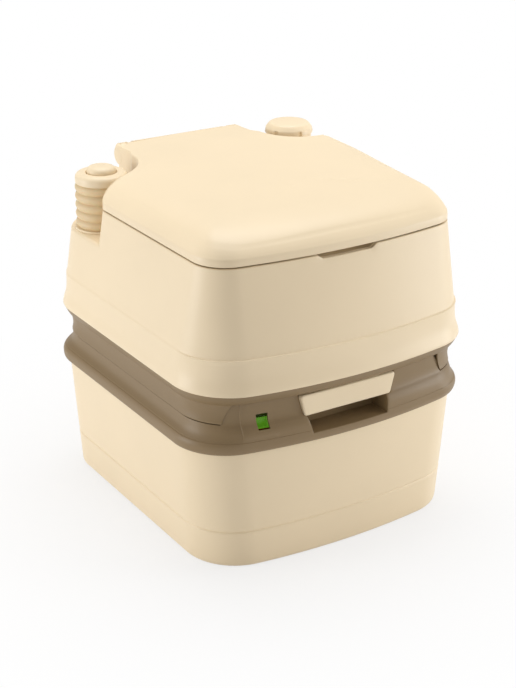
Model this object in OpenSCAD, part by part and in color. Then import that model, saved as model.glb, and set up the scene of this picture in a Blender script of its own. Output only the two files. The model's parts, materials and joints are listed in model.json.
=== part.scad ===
// Portable toilet: a flush tank with bowl, seat and lid, stacked on a waste tank.
// Origin at the middle of the footprint, on the ground. The front is at -Y, +X is to the right.

/* [Body] */
// Overall width, across the lower edge of the flush tank
body_w = 383; // [370:1:400]
// Overall depth, front to back
body_d = 427; // [415:1:440]
// Wall of the moulded shells
wall = 3; // [2.5:0.1:3.5]
// Clearance between pieces that only lie beside each other
gap = 0.3; // [0.2:0.05:0.4]
// Radial clearance of a pin or tube in its bore
run = 0.05; // [0.02:0.01:0.08]

/* [Heights] */
// Waste tank, from the ground to the lip
tub_h = 151; // [140:1:160]
// Foot of the waste tank, below the groove
foot_h = 47.5; // [40:0.5:55]
// Lip and waist, from the lip's lower edge to the split
waist_h = 35; // [34:1:40]
// Apron of the flush tank, below its top strip
apron_h = 27; // [26:1:30]
// Top strip of the apron
strip_h = 11.5; // [10:0.5:13]
// Skirt of the flush tank, up to the bead
skirt_h = 40.5; // [36:0.5:45]
// Wall of the flush tank, from the bead to the rear deck
shoulder_h = 59; // [55:1:63]
// Platform under the lid, above the rear deck
platform_h = 42; // [38:1:46]
// Lid, from the seam to the crest of the hinge roll
lid_h = 43; // [41:1:45]

/* [Bowl and seat] */
// Half width of the bowl at its mouth
bowl_a = 104; // [96:1:108]
// Half length of the bowl at its mouth
bowl_b = 131; // [122:1:134]
// Bowl centre in front of the waste hole
bowl_front = 35; // [30:1:38]
// Radius of the waste hole
outlet_r = 47; // [42:1:49]
// Thickness of the seat
seat_t = 13.7; // [12:0.1:15]
// Width of the seat's inner edge over the bowl's mouth
seat_over = 6; // [3:1:9]

/* [Hinge] */
// Radius of the lid's hinge roll
roll_r = 15; // [14.5:0.5:16]
// From the side of the body to the end of the hinge roll
roll_side = 98.5; // [96:0.5:101]
// Radius of the hinge pins
hinge_pin_r = 3; // [2.5:0.1:3.5]
// Radius of the hinge knuckles
knuckle_r = 8; // [7:0.5:9]

/* [Pump] */
// Pump centre, in from the left side
pump_side = 54; // [52:0.5:57]
// Pump centre, in from the rear
pump_rear = 74.5; // [72:0.5:78]
// Outer radius of the bellows
bellows_r = 33.5; // [32:0.5:36]
// Depth of the bellows' folds
fold = 4; // [3:0.5:5]
// Number of ridges
ridges = 5; // [4:1:6]
// Height of the bellows
bellows_h = 55; // [52:1:58]
// Height of the pump's top plate
plate_h = 12; // [11:0.5:14]
// Height of the button's dome over the plate
dome_h = 12.5; // [11:0.5:14]
// Radius of the button
button_r = 18; // [17:0.5:21]

/* [Filler] */
// Filler centre, in from the right side
filler_side = 55.5; // [54:0.5:58]
// Filler centre, in from the rear
filler_rear = 72.5; // [70:0.5:76]
// Outer radius of the filler neck
neck_r = 26; // [24:0.5:28]
// Height of the filler neck over the deck
neck_h = 84; // [82:1:88]
// Outer radius of the filler cap
cap_r = 31; // [30:0.5:33]
// Height of the filler cap
cap_h = 20; // [18:1:22]

/* [Valve] */
// Thickness of the sliding blade
blade_t = 3; // [2.5:0.1:3.5]
// Half width of the blade
blade_half = 61; // [59:0.5:63]
// Width of the handle along its top edge
handle_w = 131; // [124:1:136]
// Height of the handle
handle_h = 26; // [24:0.5:27]
// Depth of the handle
handle_t = 13; // [11:0.5:15]
// Handle centre, to the left of the middle
handle_off = 5; // [0:0.5:6]

/* [Pour-out spout] */
// Outer radius of the spout
spout_r = 18; // [16:0.5:19]
// Length of the spout from its swivel to its mouth
spout_len = 100; // [90:1:104]
// Swivel of the spout, to the right of the middle
spout_x = 85; // [80:1:88]

/* [Level window] */
// Width of the window
window_w = 14; // [13:0.5:16]
// Height of the window
window_h = 17.5; // [16:0.5:19]
// Window centre, to the left of the handle's upper end
window_gap = 44.5; // [43:0.5:46]

/* [Hidden] */

cream = "#f3e2c0";
tan_band = "#93805f";
rubber_black = "#2b2b2b";
grey_plastic = "#c9c4b8";
leaf_green = "#6c9030";
flag_red_colour = "#b03028";
steel = "#b8b8b8";

$fn = 64;
corner_steps = 8;
bow_steps = 10;
eps = 0.01;

lip_z = tub_h;
split_z = lip_z + waist_h;
strip_z = split_z + apron_h;
skirt_z = strip_z + strip_h;
bead_z = skirt_z + skirt_h;
deck_z = bead_z + shoulder_h;
seam_z = deck_z + platform_h;
crest_z = seam_z + lid_h;
pump_x = body_w / 2 - pump_side;
pump_y = body_d / 2 - pump_rear;
filler_x = body_w / 2 - filler_side;
filler_y = body_d / 2 - filler_rear;
roll_half = body_w / 2 - roll_side;
window_x = handle_off + handle_w / 2 + window_gap;

// Plan outlines are six numbers: half width, front edge, bow of the front, radius of the front
// corners, rear edge, radius of the rear corners. Each is set in from the flush tank's skirt.
function plan(side, front, rear, bow, front_r, rear_r) =
    [body_w / 2 - side, front - body_d / 2, bow, front_r, body_d / 2 - rear, rear_r];
function inset(p, d) =
    [p[0] - d, p[1] + d, p[2], max(p[3] - d, 3), p[4] - d, max(p[5] - d, 3)];
function mix(a, b, t) = a * (1 - t) + b * t;

skirt = plan(0, 0, 0, 27, 75, 80);
bead = plan(6.8, 6.8, 6.8, 27, 68, 73);
seam = plan(23, 25, 14.5, 18, 42, 62);
lip = plan(0.3, 4, 4, 26.5, 68, 66);
shoulder = plan(6.5, 12, 12, 24, 66, 64);
foot = plan(17, 18, 22.5, 18, 68, 52);
deck = mix(bead, seam, (deck_z - bead_z) / (seam_z - bead_z));
waist_in = 12;
panel = inset(skirt, 11.5);

// Depth and turn of an outline's bowed front at a distance from the middle.
function bow_radius(p) = (p[0] * p[0] + p[2] * p[2]) / (2 * p[2]);
function front_y(p, x) = p[1] + bow_radius(p) - sqrt(pow(bow_radius(p), 2) - x * x);
function front_turn(p, x) = asin(x / bow_radius(p));

function arc_points(c, r, a0, a1, n) =
    [for (i = [0 : n - 1]) c + r * [cos(a0 + (a1 - a0) * i / n), sin(a0 + (a1 - a0) * i / n)]];

// The outline runs anticlockwise from the rear right corner, with a bowed front.
function outline(p) =
    let (hx = p[0], rf = p[3], rr = p[5],
         big = bow_radius(p),
         yc = p[1] + big,
         cy = yc - sqrt(pow(big - rf, 2) - pow(hx - rf, 2)),
         a = 360 + atan2(cy - yc, rf - hx))
    concat(arc_points([hx - rr, p[4] - rr], rr, 0, 90, corner_steps), [[hx - rr, p[4]]],
           arc_points([rr - hx, p[4] - rr], rr, 90, 180, corner_steps), [[-hx, p[4] - rr]],
           arc_points([rf - hx, cy], rf, 180, a, corner_steps),
           arc_points([0, yc], big, a, 540 - a, bow_steps),
           arc_points([hx - rf, cy], rf, 540 - a, 360, corner_steps), [[hx, cy]]);

function oval(a, b, cy) = [for (i = [0 : 47]) [a * cos(i * 7.5), cy + b * sin(i * 7.5)]];

// A closed solid through rings of equal point count, from the bottom up.
module skin(rings) {
    n = len(rings[0]);
    m = len(rings);
    sides = [for (i = [0 : m - 2], j = [0 : n - 1])
        let (a = i * n + j, b = i * n + (j + 1) % n) each [[a, a + n, b + n], [a, b + n, b]]];
    bottom = [for (j = [0 : n - 1]) j];
    top = [for (j = [n - 1 : -1 : 0]) (m - 1) * n + j];
    polyhedron([for (r = rings) each r], concat([bottom, top], sides), convexity = 6);
}

// Each level is a height and a plan.
module loft(levels) {
    skin([for (l = levels) [for (q = outline(l[1])) [q[0], q[1], l[0]]]]);
}

// Each level is a height, half width, half length and centre.
module oval_loft(levels) {
    skin([for (l = levels) [for (q = oval(l[1], l[2], l[3])) [q[0], q[1], l[0]]]]);
}

module block(x, y, z) {
    translate([x[0], y[0], z[0]]) cube([x[1] - x[0], y[1] - y[0], z[1] - z[0]]);
}

module rod(at, r, length) {
    translate(at) cylinder(r = r, h = length);
}

module rod_x(at, r, length) {
    translate(at) rotate([0, 90, 0]) cylinder(r = r, h = length);
}

module rod_y(at, r, length) {
    translate(at) rotate([-90, 0, 0]) cylinder(r = r, h = length);
}

module both_sides() {
    children();
    mirror([1, 0, 0]) children();
}

// Waste tank: a tub with a rounded foot and a shallow groove round it.
foot_top = mix(foot, shoulder, foot_h / tub_h);
groove_depth = 1.2;
edge_r = 6;

module waste_tank() color(cream) {
    difference() {
        loft([[0, inset(foot, edge_r)], [1.5, inset(foot, edge_r * 0.4)], [edge_r, foot],
              [foot_h - 2, foot_top], [foot_h, inset(foot_top, groove_depth)],
              [foot_h + 1.5, inset(foot_top, 0.3)], [tub_h, shoulder]]);
        loft([[wall, inset(foot, edge_r + wall)], [edge_r + wall, inset(foot, wall)],
              [foot_h, inset(foot_top, wall + groove_depth)], [tub_h + 1, inset(shoulder, wall)]]);
    }
}

// Top of the waste tank: lip, waist, valve deck, front panel with the handle and the window,
// rear recess for the spout.
hood_z = strip_z - 0.5;
panel_y = panel[1];
hood_left = -148;
hood_right = 130;
hood_lean = 9;
hood_back = panel_y + 21;
hood_side_back = panel_y + 36;
deck_under = split_z - wall;
mouth_r = outlet_r + 23;

handle_top = hood_z - 2.5;
handle_low = handle_top - handle_h;
handle_face = panel_y - 1;
handle_back = handle_face + handle_t;
handle_lean = 6.5;
recess_low = lip_z + 12;
recess_half = handle_w / 2 - handle_lean - 3;
recess_back = panel_y + 24;

blade_z = split_z + 4;
blade_reach = 61;
neck_half = 25;
valve_open = 115;
pull_slot = 1;

recess_x = [-50, spout_x + 25];
recess_y = body_d / 2 - 55.5;
spout_floor = lip_z + 15;
spout_y = body_d / 2 - 29.5;
spout_z = (spout_floor + hood_z) / 2 + 1;
stub_r = spout_r - 2;
stub_low = spout_floor - wall - 6;

latch_x = -81;
latch_half = 20;
catch_y = body_d / 2 - 11;
catch_z = lip_z + 26;

peg_r = 5;
peg_spots = [[125, -110], [135, 95]];
peg_low = split_z - 12;

lens_t = 1.6;
window_z = [hood_z - 16 - window_h, hood_z - 16];

// The window and the float stand square to the bowed panel.
module at_window() {
    translate([-window_x, front_y(panel, window_x), 0])
        rotate([0, 0, -front_turn(panel, window_x)]) children();
}

module trapezoid(z, y, grow) {
    z0 = z[0];
    z1 = z[1];
    translate([0, y[1], 0]) rotate([90, 0, 0]) linear_extrude(y[1] - y[0])
        polygon([[hood_left - hood_lean - grow, z0], [hood_right + hood_lean + grow, z0],
                 [hood_right + grow, z1], [hood_left - grow, z1]]);
}

module front_hood() {
    middle = handle_w / 2 + handle_off + wall;
    intersection() {
        loft([[lip_z + 12, panel], [hood_z, panel]]);
        difference() {
            trapezoid([lip_z + 12, hood_z], [-body_d / 2, hood_side_back], 0);
            block([-middle, middle], [hood_back, body_d], [lip_z, hood_z + 1]);
        }
    }
}

// The hood is hollow on both sides of the handle, and open to the tank below.
module front_hood_inside() {
    middle = handle_w / 2 + handle_off + 2 * wall;
    intersection() {
        loft([[lip_z + 12, inset(panel, wall)], [hood_z - wall, inset(panel, wall)]]);
        difference() {
            trapezoid([lip_z + 10, hood_z - wall], [-body_d / 2, hood_side_back - wall], -wall);
            block([-middle, middle], [-body_d / 2, body_d], [lip_z, hood_z]);
        }
    }
}

module rear_walls() {
    block([recess_x[0] - wall, recess_x[1] + wall], [recess_y - wall, catch_y - 2], [lip_z + 6, hood_z]);
    block([latch_x - latch_half - 8, recess_x[0] - wall], [recess_y - wall, catch_y], [lip_z + 20, hood_z]);
}

module handle_shape(y, grow) {
    x0 = handle_w / 2 + grow;
    x1 = x0 - handle_lean;
    translate([-handle_off, y[1], 0]) rotate([90, 0, 0]) linear_extrude(y[1] - y[0])
        polygon([[-x1, handle_low - grow], [x1, handle_low - grow],
                 [x0, handle_top + grow], [-x0, handle_top + grow]]);
}

// The waste tank's top is four mouldings: the top itself, the trays round the handle and the
// spout, and the ring that frames the mouth.
module handle_region(grow) {
    block([-handle_off - handle_w / 2 - wall - grow, -handle_off + handle_w / 2 + wall + grow],
          [-body_d, recess_back + wall + grow], [recess_low - wall - grow, hood_z + 1]);
}

module spout_region(grow) {
    block([recess_x[0] - wall - grow, recess_x[1] + wall + grow], [recess_y - wall - grow, body_d],
          [spout_floor - wall - grow, hood_z + 1]);
}

module mouth_region(grow) {
    rod([0, 0, deck_under - 1], mouth_r + grow, wall + 2);
}

module tank_top() color(tan_band) {
    difference() {
        tank_top_shape();
        handle_region(gap);
        spout_region(gap);
        mouth_region(gap);
    }
}

module handle_tray() color(tan_band) {
    intersection() {
        tank_top_shape();
        handle_region(0);
    }
}

module spout_tray() color(tan_band) {
    intersection() {
        tank_top_shape();
        spout_region(0);
    }
}

module mouth_ring() color(tan_band) {
    difference() {
        rod([0, 0, deck_under], mouth_r, wall);
        rod([0, 0, deck_under - 1], outlet_r + 5, wall + 2);
    }
}

module tank_top_shape() {
    difference() {
        union() {
            difference() {
                union() {
                    loft([[lip_z, inset(lip, 2)], [lip_z + 2, lip], [lip_z + 10, lip],
                          [lip_z + 14, inset(lip, 2)], [lip_z + 18, inset(lip, 6)],
                          [lip_z + 22, inset(skirt, 9.3)], [lip_z + 28, inset(skirt, 11)],
                          [split_z, inset(skirt, waist_in)]]);
                    front_hood();
                    rear_walls();
                }
                loft([[lip_z + wall, inset(lip, 10)], [lip_z + wall + 2, inset(lip, 2 + wall)],
                      [lip_z + 12, inset(lip, wall + 2)], [lip_z + 22, inset(skirt, 10 + wall)],
                      [deck_under, inset(skirt, waist_in + wall)]]);
                loft([[lip_z - 1, inset(shoulder, wall)], [lip_z + wall + 1, inset(shoulder, wall)]]);
                front_hood_inside();
            }
            block([-handle_off - handle_w / 2 - wall, -handle_off + handle_w / 2 + wall],
                  [panel_y + 2, recess_back + wall], [recess_low - wall, split_z]);
            block([recess_x[0] - wall, recess_x[1] + wall], [recess_y - wall, body_d / 2 - 13],
                  [spout_floor - wall, split_z]);
            for (s = peg_spots, k = [-1, 1])
                rod([k * s[0], s[1], peg_low - wall], peg_r + 0.4 + wall, split_z - peg_low);
        }
        handle_shape([-body_d / 2 - 1, handle_back + gap], gap);
        block([-handle_off - recess_half, -handle_off + recess_half], [-body_d / 2, recess_back],
              [recess_low, handle_low + 1]);
        block([-neck_half - pull_slot, neck_half + pull_slot], [handle_back - 1, hood_back + 1],
              [blade_z - gap, blade_z + blade_t + gap]);
        at_window() block([-window_w / 2, window_w / 2], [-12, wall + 4], window_z);
        rod([0, 0, deck_under - 1], outlet_r + 5, wall + 2);
        block(recess_x, [recess_y, body_d / 2], [spout_floor, hood_z + 1]);
        rod([spout_x, spout_y, spout_floor - wall - 1], stub_r + run, wall + 2);
        block([latch_x - latch_half - 1, latch_x + latch_half + 1], [catch_y - 4, body_d / 2],
              [catch_z - 3, catch_z + 7]);
        for (s = peg_spots, k = [-1, 1]) rod([k * s[0], s[1], peg_low], peg_r + 0.4, split_z);
    }
}

module indicator_lens() color("#dfe8d8") at_window() {
    block([0.1 - window_w / 2, window_w / 2 - 0.1], [lens_in, lens_in + lens_t],
          [window_z[0] + 0.1, window_z[1] - 0.1]);
}

// Level float: the arm turns on a pin behind the panel, the flag shows in the window.
// Places are from the window's middle, on the panel's face.
lens_in = 1.2;
float_x = 29;
float_z = lip_z + 18;
float_pin_r = 2;
float_arm_y = [9, 12];
float_pin_end = 25;
float_r = 11;
float_length = 36;
float_at = [float_x - 38, float_z - 22];
flag_y = [lens_in + lens_t + 2, lens_in + lens_t + 3.2];
flag_split = window_z[0] - 4;
flag_h = window_h - 3.5;
flag_x = [-2 - window_w / 2, window_w / 2 + 5];

module float_pin() color(steel) at_window() {
    rod_y([float_x, wall + gap, float_z], float_pin_r, float_pin_end - wall - gap);
}

module float_arm() color(grey_plastic) at_window() {
    difference() {
        union() {
            rod_y([float_x, float_arm_y[0], float_z], 5, float_arm_y[1] - float_arm_y[0]);
            block([float_at[0] - 2.5, float_x], float_arm_y, [float_z - 3, float_z + 3]);
            block([float_at[0] - 2.5, float_at[0] + 2.5], float_arm_y, [float_at[1], float_z]);
            block([-3, 3], [flag_y[1], float_arm_y[0]], [float_z - 3, float_z + 3]);
        }
        rod_y([float_x, 0, float_z], float_pin_r + run, 40);
    }
}

module float() color("#e9e4d8") at_window() {
    rod_y([float_at[0], float_arm_y[1], float_at[1]], float_r, float_length);
}

module flag_green() color(leaf_green) at_window()
    block(flag_x, flag_y, [flag_split, flag_split + flag_h]);

module flag_red() color(flag_red_colour) at_window()
    block(flag_x, flag_y, [flag_split - flag_h, flag_split]);

// Waste valve: a frame on the deck, a sliding blade and the handle in front.
frame_half = 70;
frame_y = [hood_back + 4, 72];
frame_top = blade_z + blade_t + 7;
seal_h = 5;

module valve_frame() color(grey_plastic) {
    difference() {
        block([-frame_half, frame_half], frame_y, [split_z, frame_top]);
        block([-blade_half - 1, blade_half + 1], [frame_y[0] - 1, blade_reach + 5],
              [blade_z - gap, blade_z + blade_t + gap]);
        rod([0, 0, split_z - 1], outlet_r + 5, frame_top - split_z + 2);
        block([-neck_half - 20, neck_half + 20], [frame_y[0] - 1, -blade_reach - 6],
              [blade_z + blade_t, frame_top + 1]);
    }
}

module valve_seal() color(rubber_black) {
    difference() {
        rod([0, 0, frame_top], outlet_r + 13, seal_h);
        rod([0, 0, frame_top - 1], outlet_r + 5, seal_h + 2);
    }
}

module valve_blade() color(grey_plastic) {
    block([-blade_half, blade_half], [-blade_reach, blade_reach], [blade_z, blade_z + blade_t]);
    block([-neck_half, neck_half], [handle_back, -blade_reach], [blade_z, blade_z + blade_t]);
}

module valve_handle() color(cream) {
    handle_shape([handle_face, handle_back], 0);
}

// Pour-out spout: swivels on a stub in the floor of the rear recess.
cap_over = 17;
spout_end = spout_x - spout_len;
spout_wall = 2.5;

module pour_spout() color(tan_band) {
    difference() {
        union() {
            translate([spout_x, spout_y, spout_z]) sphere(r = spout_r + 1);
            rod_x([spout_end, spout_y, spout_z], spout_r, spout_len);
            rod([spout_x, spout_y, stub_low], stub_r, spout_z - stub_low);
        }
        rod_x([spout_end - 1, spout_y, spout_z], spout_r - spout_wall, spout_len + 1);
        rod([spout_x, spout_y, stub_low - 1], stub_r - spout_wall, spout_z - stub_low + 1);
    }
}

spout_seal_h = 2;

module spout_seal() color(rubber_black) {
    difference() {
        rod([spout_x, spout_y, spout_floor], stub_r + 4, spout_seal_h);
        rod([spout_x, spout_y, spout_floor - 1], stub_r + gap, spout_seal_h + 2);
    }
}

cap_wall = 2;
gasket_t = 2;

module spout_cap() color(tan_band) {
    difference() {
        rod_x([spout_end - gasket_t - cap_wall, spout_y, spout_z], spout_r + cap_wall + 0.5,
              cap_over + gasket_t + cap_wall);
        rod_x([spout_end - gasket_t, spout_y, spout_z], spout_r + 0.1, cap_over + gasket_t + 1);
    }
}

module spout_cap_gasket() color(rubber_black) {
    rod_x([spout_end - gasket_t, spout_y, spout_z], spout_r - 0.4, gasket_t);
}

// Underside of the flush tank: plate, top strip and the aprons over the waist.
plate_t = 3;
strip_in = 2.2;
tongue_in = wall + gap;
apron_step = 5.5;
latch_pin_r = 1.5;
latch_axis = [body_d / 2 - 5, strip_z + 4];

module base_frame() color(tan_band) {
    difference() {
        union() {
            difference() {
                loft([[split_z + gap, inset(skirt, waist_in - 0.5)], [split_z + 13, inset(skirt, 9.5)],
                      [strip_z - 1, inset(skirt, apron_step)], [strip_z, inset(skirt, strip_in)],
                      [skirt_z, inset(skirt, strip_in)]]);
                loft([[split_z, inset(skirt, waist_in + wall)], [split_z + 13, inset(skirt, 9.5 + wall)],
                      [strip_z, inset(skirt, apron_step + wall)]]);
                loft([[strip_z + plate_t, inset(skirt, 11)], [skirt_z + 1, inset(skirt, 11)]]);
            }
            difference() {
                loft([[skirt_z - 1, inset(skirt, tongue_in)], [skirt_z + 6, inset(skirt, tongue_in + 2.2)]]);
                loft([[skirt_z - 2, inset(skirt, tongue_in + wall)],
                      [skirt_z + 7, inset(skirt, tongue_in + 2.2 + wall)]]);
            }
            for (s = peg_spots, k = [-1, 1]) rod([k * s[0], s[1], peg_low + 2], peg_r, strip_z - peg_low);
        }
        trapezoid([split_z - 1, strip_z], [-body_d / 2, -120], 1);
        block([latch_x - latch_half - 10, recess_x[1] + wall + 2], [recess_y - wall - 2, body_d / 2],
              [split_z - 1, strip_z]);
        rod([0, 0, strip_z - 1], outlet_r + wall + gap, plate_t + 2);
        block([latch_x - latch_half - gap, latch_x + latch_half + gap], [catch_y, body_d / 2],
              [strip_z - 1, skirt_z + eps]);
        rod_x([latch_x - latch_half - 6, latch_axis[0], latch_axis[1]], latch_pin_r + run,
              2 * latch_half + 12);
    }
}

// Rear latch: hangs on its pin and hooks in front of the catch.
module latch() color(cream) {
    hang = [catch_z + 0.5, latch_axis[1]];
    difference() {
        union() {
            rod_x([latch_x - latch_half, latch_axis[0], latch_axis[1]], 4, 2 * latch_half);
            block([latch_x - latch_half, latch_x + latch_half], [latch_axis[0] - 2, latch_axis[0] + 2], hang);
            block([latch_x - latch_half, latch_x + latch_half], [catch_y + 2.3, latch_axis[0]],
                  [hang[0], hang[0] + 5]);
        }
        rod_x([latch_x - latch_half - 1, latch_axis[0], latch_axis[1]], latch_pin_r + run,
              2 * latch_half + 2);
    }
}

module latch_pin() color(steel) {
    rod_x([latch_x - latch_half - 5, latch_axis[0], latch_axis[1]], latch_pin_r, 2 * latch_half + 10);
}

// Flush tank: skirt, bead, tapered walls, rear deck and the platform under the lid.
pocket_r = 55;
pocket_y = pump_y + 1;
roll_y = body_d / 2 - 23.5;
roll_z = crest_z - roll_r;
ear_x = roll_half - 23;
ear_half = 3.5;
seat_ear_x = roll_half - 12;
lid_ear_x = roll_half - 33;
notch_half = 38;
notch_h = 6;
notch_depth = 7;

// The corners behind the platform and the lid are cut away round the pump and the filler.
module rear_corners(z, grow) {
    x0 = roll_half + pocket_r;
    both_sides() {
        rod([x0, pocket_y, z[0]], pocket_r + grow, z[1] - z[0]);
        block([x0, body_w], [pocket_y - pocket_r - grow, body_d], z);
        block([roll_half - grow, body_w], [pocket_y, body_d], z);
    }
}

module platform(z, grow) {
    difference() {
        loft([[z[0], inset(deck, grow)], [z[1], inset(seam, grow)]]);
        rear_corners([z[0] - 1, z[1] + 1], grow);
    }
}

module hinge_ear() {
    intersection() {
        block([ear_x - ear_half, ear_x + ear_half], [0, body_d / 2], [0, 2 * crest_z]);
        hull() {
            rod_x([ear_x - ear_half, roll_y, roll_z], knuckle_r, 2 * ear_half);
            block([ear_x - ear_half, ear_x + ear_half], [roll_y - 34, roll_y - 24], [seam_z - 1, seam_z]);
        }
    }
}

// The flush tank's shell is closed by the platform, which stands on its deck.
module upper_housing() color(cream) {
    difference() {
        loft([[skirt_z, skirt], [skirt_z + 3.5, inset(skirt, 0.5)], [skirt_z + 9, inset(skirt, 2.3)],
              [skirt_z + 15, inset(skirt, 4.2)], [skirt_z + 22, inset(skirt, 5.1)],
              [bead_z - 7, inset(skirt, 5.5)], [bead_z - 0.8, inset(skirt, 5.1)], [bead_z, bead], [deck_z, deck]]);
        loft([[skirt_z - 1, inset(skirt, wall)], [skirt_z + 4, inset(skirt, wall + 0.8)],
              [skirt_z + 15, inset(skirt, wall + 4.3)],
              [bead_z, inset(bead, wall)], [deck_z - wall, inset(deck, wall)]]);
        platform([deck_z - wall - 1, deck_z + 1], wall);
        rod([filler_x, filler_y, deck_z - wall - 1], neck_r - 4, wall + 2);
        rod([-pump_x, pump_y, deck_z - wall - 1], spigot_r + run, wall + 2);
    }
}

module seat_platform() color(cream) {
    difference() {
        union() {
            difference() {
                platform([deck_z, seam_z], 0);
                platform([deck_z - 1, seam_z - wall], wall);
            }
            block([-notch_half - 4, notch_half + 4], [seam[1] + 1, seam[1] + notch_depth + 4],
                  [seam_z - notch_h - 5, seam_z - 1]);
            both_sides() hinge_ear();
        }
        oval_hole(bowl_a, bowl_b, [seam_z - wall - 3, seam_z + 1], gap);
        block([-notch_half, notch_half], [seam[1] - 20, seam[1] + notch_depth], [seam_z - notch_h, seam_z + 1]);
        rod_x([-roll_half, roll_y, roll_z], hinge_pin_r + run, 2 * roll_half);
    }
}

module filler_neck() color(cream) {
    difference() {
        rod([filler_x, filler_y, deck_z], neck_r, neck_h);
        rod([filler_x, filler_y, deck_z - 1], neck_r - 4, neck_h + 2);
    }
}

module oval_hole(a, b, z, grow) {
    oval_loft([for (h = z) [h, a + grow, b + grow, -bowl_front]]);
}

// Bowl: from the oval rim down to the round outlet. Each level is a height below the seam,
// the share of the mouth's size that is left over the outlet's, and the shift to the middle.
bowl_shape = [[0, 1, 1], [26, 0.93, 1], [66, 0.72, 0.82], [106, 0.42, 0.45], [132, 0.16, 0.12]];
outlet_low = frame_top + seal_h + 1;
bead_out = 0.5;

function bowl_level(s, t) =
    let (r = outlet_r + wall)
    [seam_z - s[0] * (seam_z - skirt_z) / 141.5, r + (bowl_a - r) * s[1] - t, r + (bowl_b - r) * s[1] - t,
     -bowl_front * s[2]];

module bowl() color(cream) {
    difference() {
        union() {
            oval_loft([[seam_z, bowl_a + 11, bowl_b + 11, -bowl_front],
                       [seam_z + 2, bowl_a + 10, bowl_b + 10, -bowl_front]]);
            oval_loft([[skirt_z - 3, outlet_r + wall + bead_out, outlet_r + wall + bead_out, 0],
                       for (i = [4 : -1 : 0]) bowl_level(bowl_shape[i], 0)]);
            rod([0, 0, outlet_low], outlet_r + wall, skirt_z - 2 - outlet_low);
        }
        oval_loft([[skirt_z - 3 - eps, outlet_r + bead_out, outlet_r + bead_out, 0],
                   for (i = [4 : -1 : 0]) bowl_level(bowl_shape[i], wall),
                   [seam_z + 3, bowl_a - wall, bowl_b - wall, -bowl_front]]);
        rod([0, 0, outlet_low - 1], outlet_r, skirt_z - 1 - outlet_low);
        block([-nozzle_r - gap, nozzle_r + gap], [0, body_d / 2],
              [nozzle_at[2] - nozzle_r - gap, nozzle_at[2] + nozzle_r + gap]);
    }
}

module outlet_seal() color(rubber_black) {
    low = frame_top + seal_h + gap;
    difference() {
        rod([0, 0, low], outlet_r + 12, strip_z - low);
        rod([0, 0, low - 1], outlet_r + wall + 0.1, strip_z - low + 2);
    }
}

// Pump: base on the deck, bellows, top plate and button; below the deck the intake and the hose.
spigot_r = 9;
base_h = 2.5;
bellows_z = deck_z + base_h;
plate_z = bellows_z + bellows_h + gap;
spigot_low = deck_z - 22;
bellows_wall = 1.5;
pump_stroke = 30;

module pump_base() color(cream) {
    difference() {
        union() {
            rod([-pump_x, pump_y, deck_z], bellows_r + 1, base_h);
            rod([-pump_x, pump_y, spigot_low], spigot_r, deck_z - spigot_low);
        }
        rod([-pump_x, pump_y, spigot_low - 1], spigot_r - 3, deck_z + base_h - spigot_low + 2);
    }
}

module intake_tube() color(grey_plastic) {
    difference() {
        rod([-pump_x, pump_y, check_z + check_h], spigot_r - 3 - run, spigot_low + 8 - check_z - check_h);
        rod([-pump_x, pump_y, check_z], spigot_r - 5, spigot_low);
    }
}
check_z = strip_z + plate_t + 4;
check_h = 16;

module check_valve() color(grey_plastic) {
    difference() {
        rod([-pump_x, pump_y, check_z], spigot_r + 1, check_h);
        for (a = [0 : 60 : 179])
            translate([-pump_x, pump_y, check_z + 5]) rotate([0, 0, a])
                cube([3 * spigot_r, 3, 6], center = true);
    }
}

// The wall of the bellows is a round wave between the ridges and the folds.
function bellows_edge(r, steps) =
    [for (i = [0 : ridges * steps])
        [r - fold / 2 - fold / 2 * cos(360 * i / steps), bellows_z + bellows_h * i / (ridges * steps)]];

module bellows() color("#e0caa2") {
    translate([-pump_x, pump_y, 0]) rotate_extrude()
        polygon(concat(bellows_edge(bellows_r, 8),
                       [for (i = [ridges * 8 : -1 : 0]) bellows_edge(bellows_r - bellows_wall, 8)[i]]));
}

module pump_top_plate() color(cream) {
    r = bellows_r - 1.5;
    round_r = plate_h * 0.6;
    translate([-pump_x, pump_y, plate_z]) difference() {
        rotate_extrude() polygon(concat([[0, 0], [r, 0]],
            [for (a = [0 : 15 : 90]) [r - round_r + round_r * cos(a), plate_h - round_r + round_r * sin(a)]],
            [[0, plate_h]]));
        rod([0, 0, plate_h - 4], button_r + gap, 10);
    }
}

module pump_button() color(cream) {
    dome_r = 8;
    translate([-pump_x, pump_y, plate_z + plate_h - 4]) rotate_extrude()
        polygon(concat([[0, 0], [button_r, 0], [button_r, 4 + dome_h * 0.4]],
            [for (a = [0 : 15 : 90])
                [button_r - dome_r + dome_r * cos(a), 4 + dome_h * (0.4 + 0.6 * sin(a))]],
            [[0, 4 + dome_h]]));
}

nozzle_at = [0, bowl_b - bowl_front - 10, seam_z - 16];
nozzle_r = 6;
hose_r = 5;
hose_path = [[spigot_r + gap - pump_x, pump_y, deck_z - 14], [22 - pump_x, pump_y, deck_z - 14],
             [-86, 131, deck_z - 10], [-52, 123, deck_z + 8], [-22, 118, nozzle_at[2] - 6],
             [0, 117, nozzle_at[2]]];

// A round tube through points, one ring square to the path at each.
module hose(path, r, sides) {
    last = len(path) - 1;
    skin([for (i = [0 : last])
        let (d = path[min(i + 1, last)] - path[max(i - 1, 0)],
             t = d / norm(d),
             u = cross(t, [0, 0, 1]) / norm(cross(t, [0, 0, 1])),
             v = cross(t, u))
        [for (k = [0 : sides - 1])
            path[i] + r * (cos(360 * k / sides) * u + sin(360 * k / sides) * v)]]);
}

module flush_hose() color(grey_plastic) {
    hose(hose_path, hose_r, 10);
}

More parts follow.
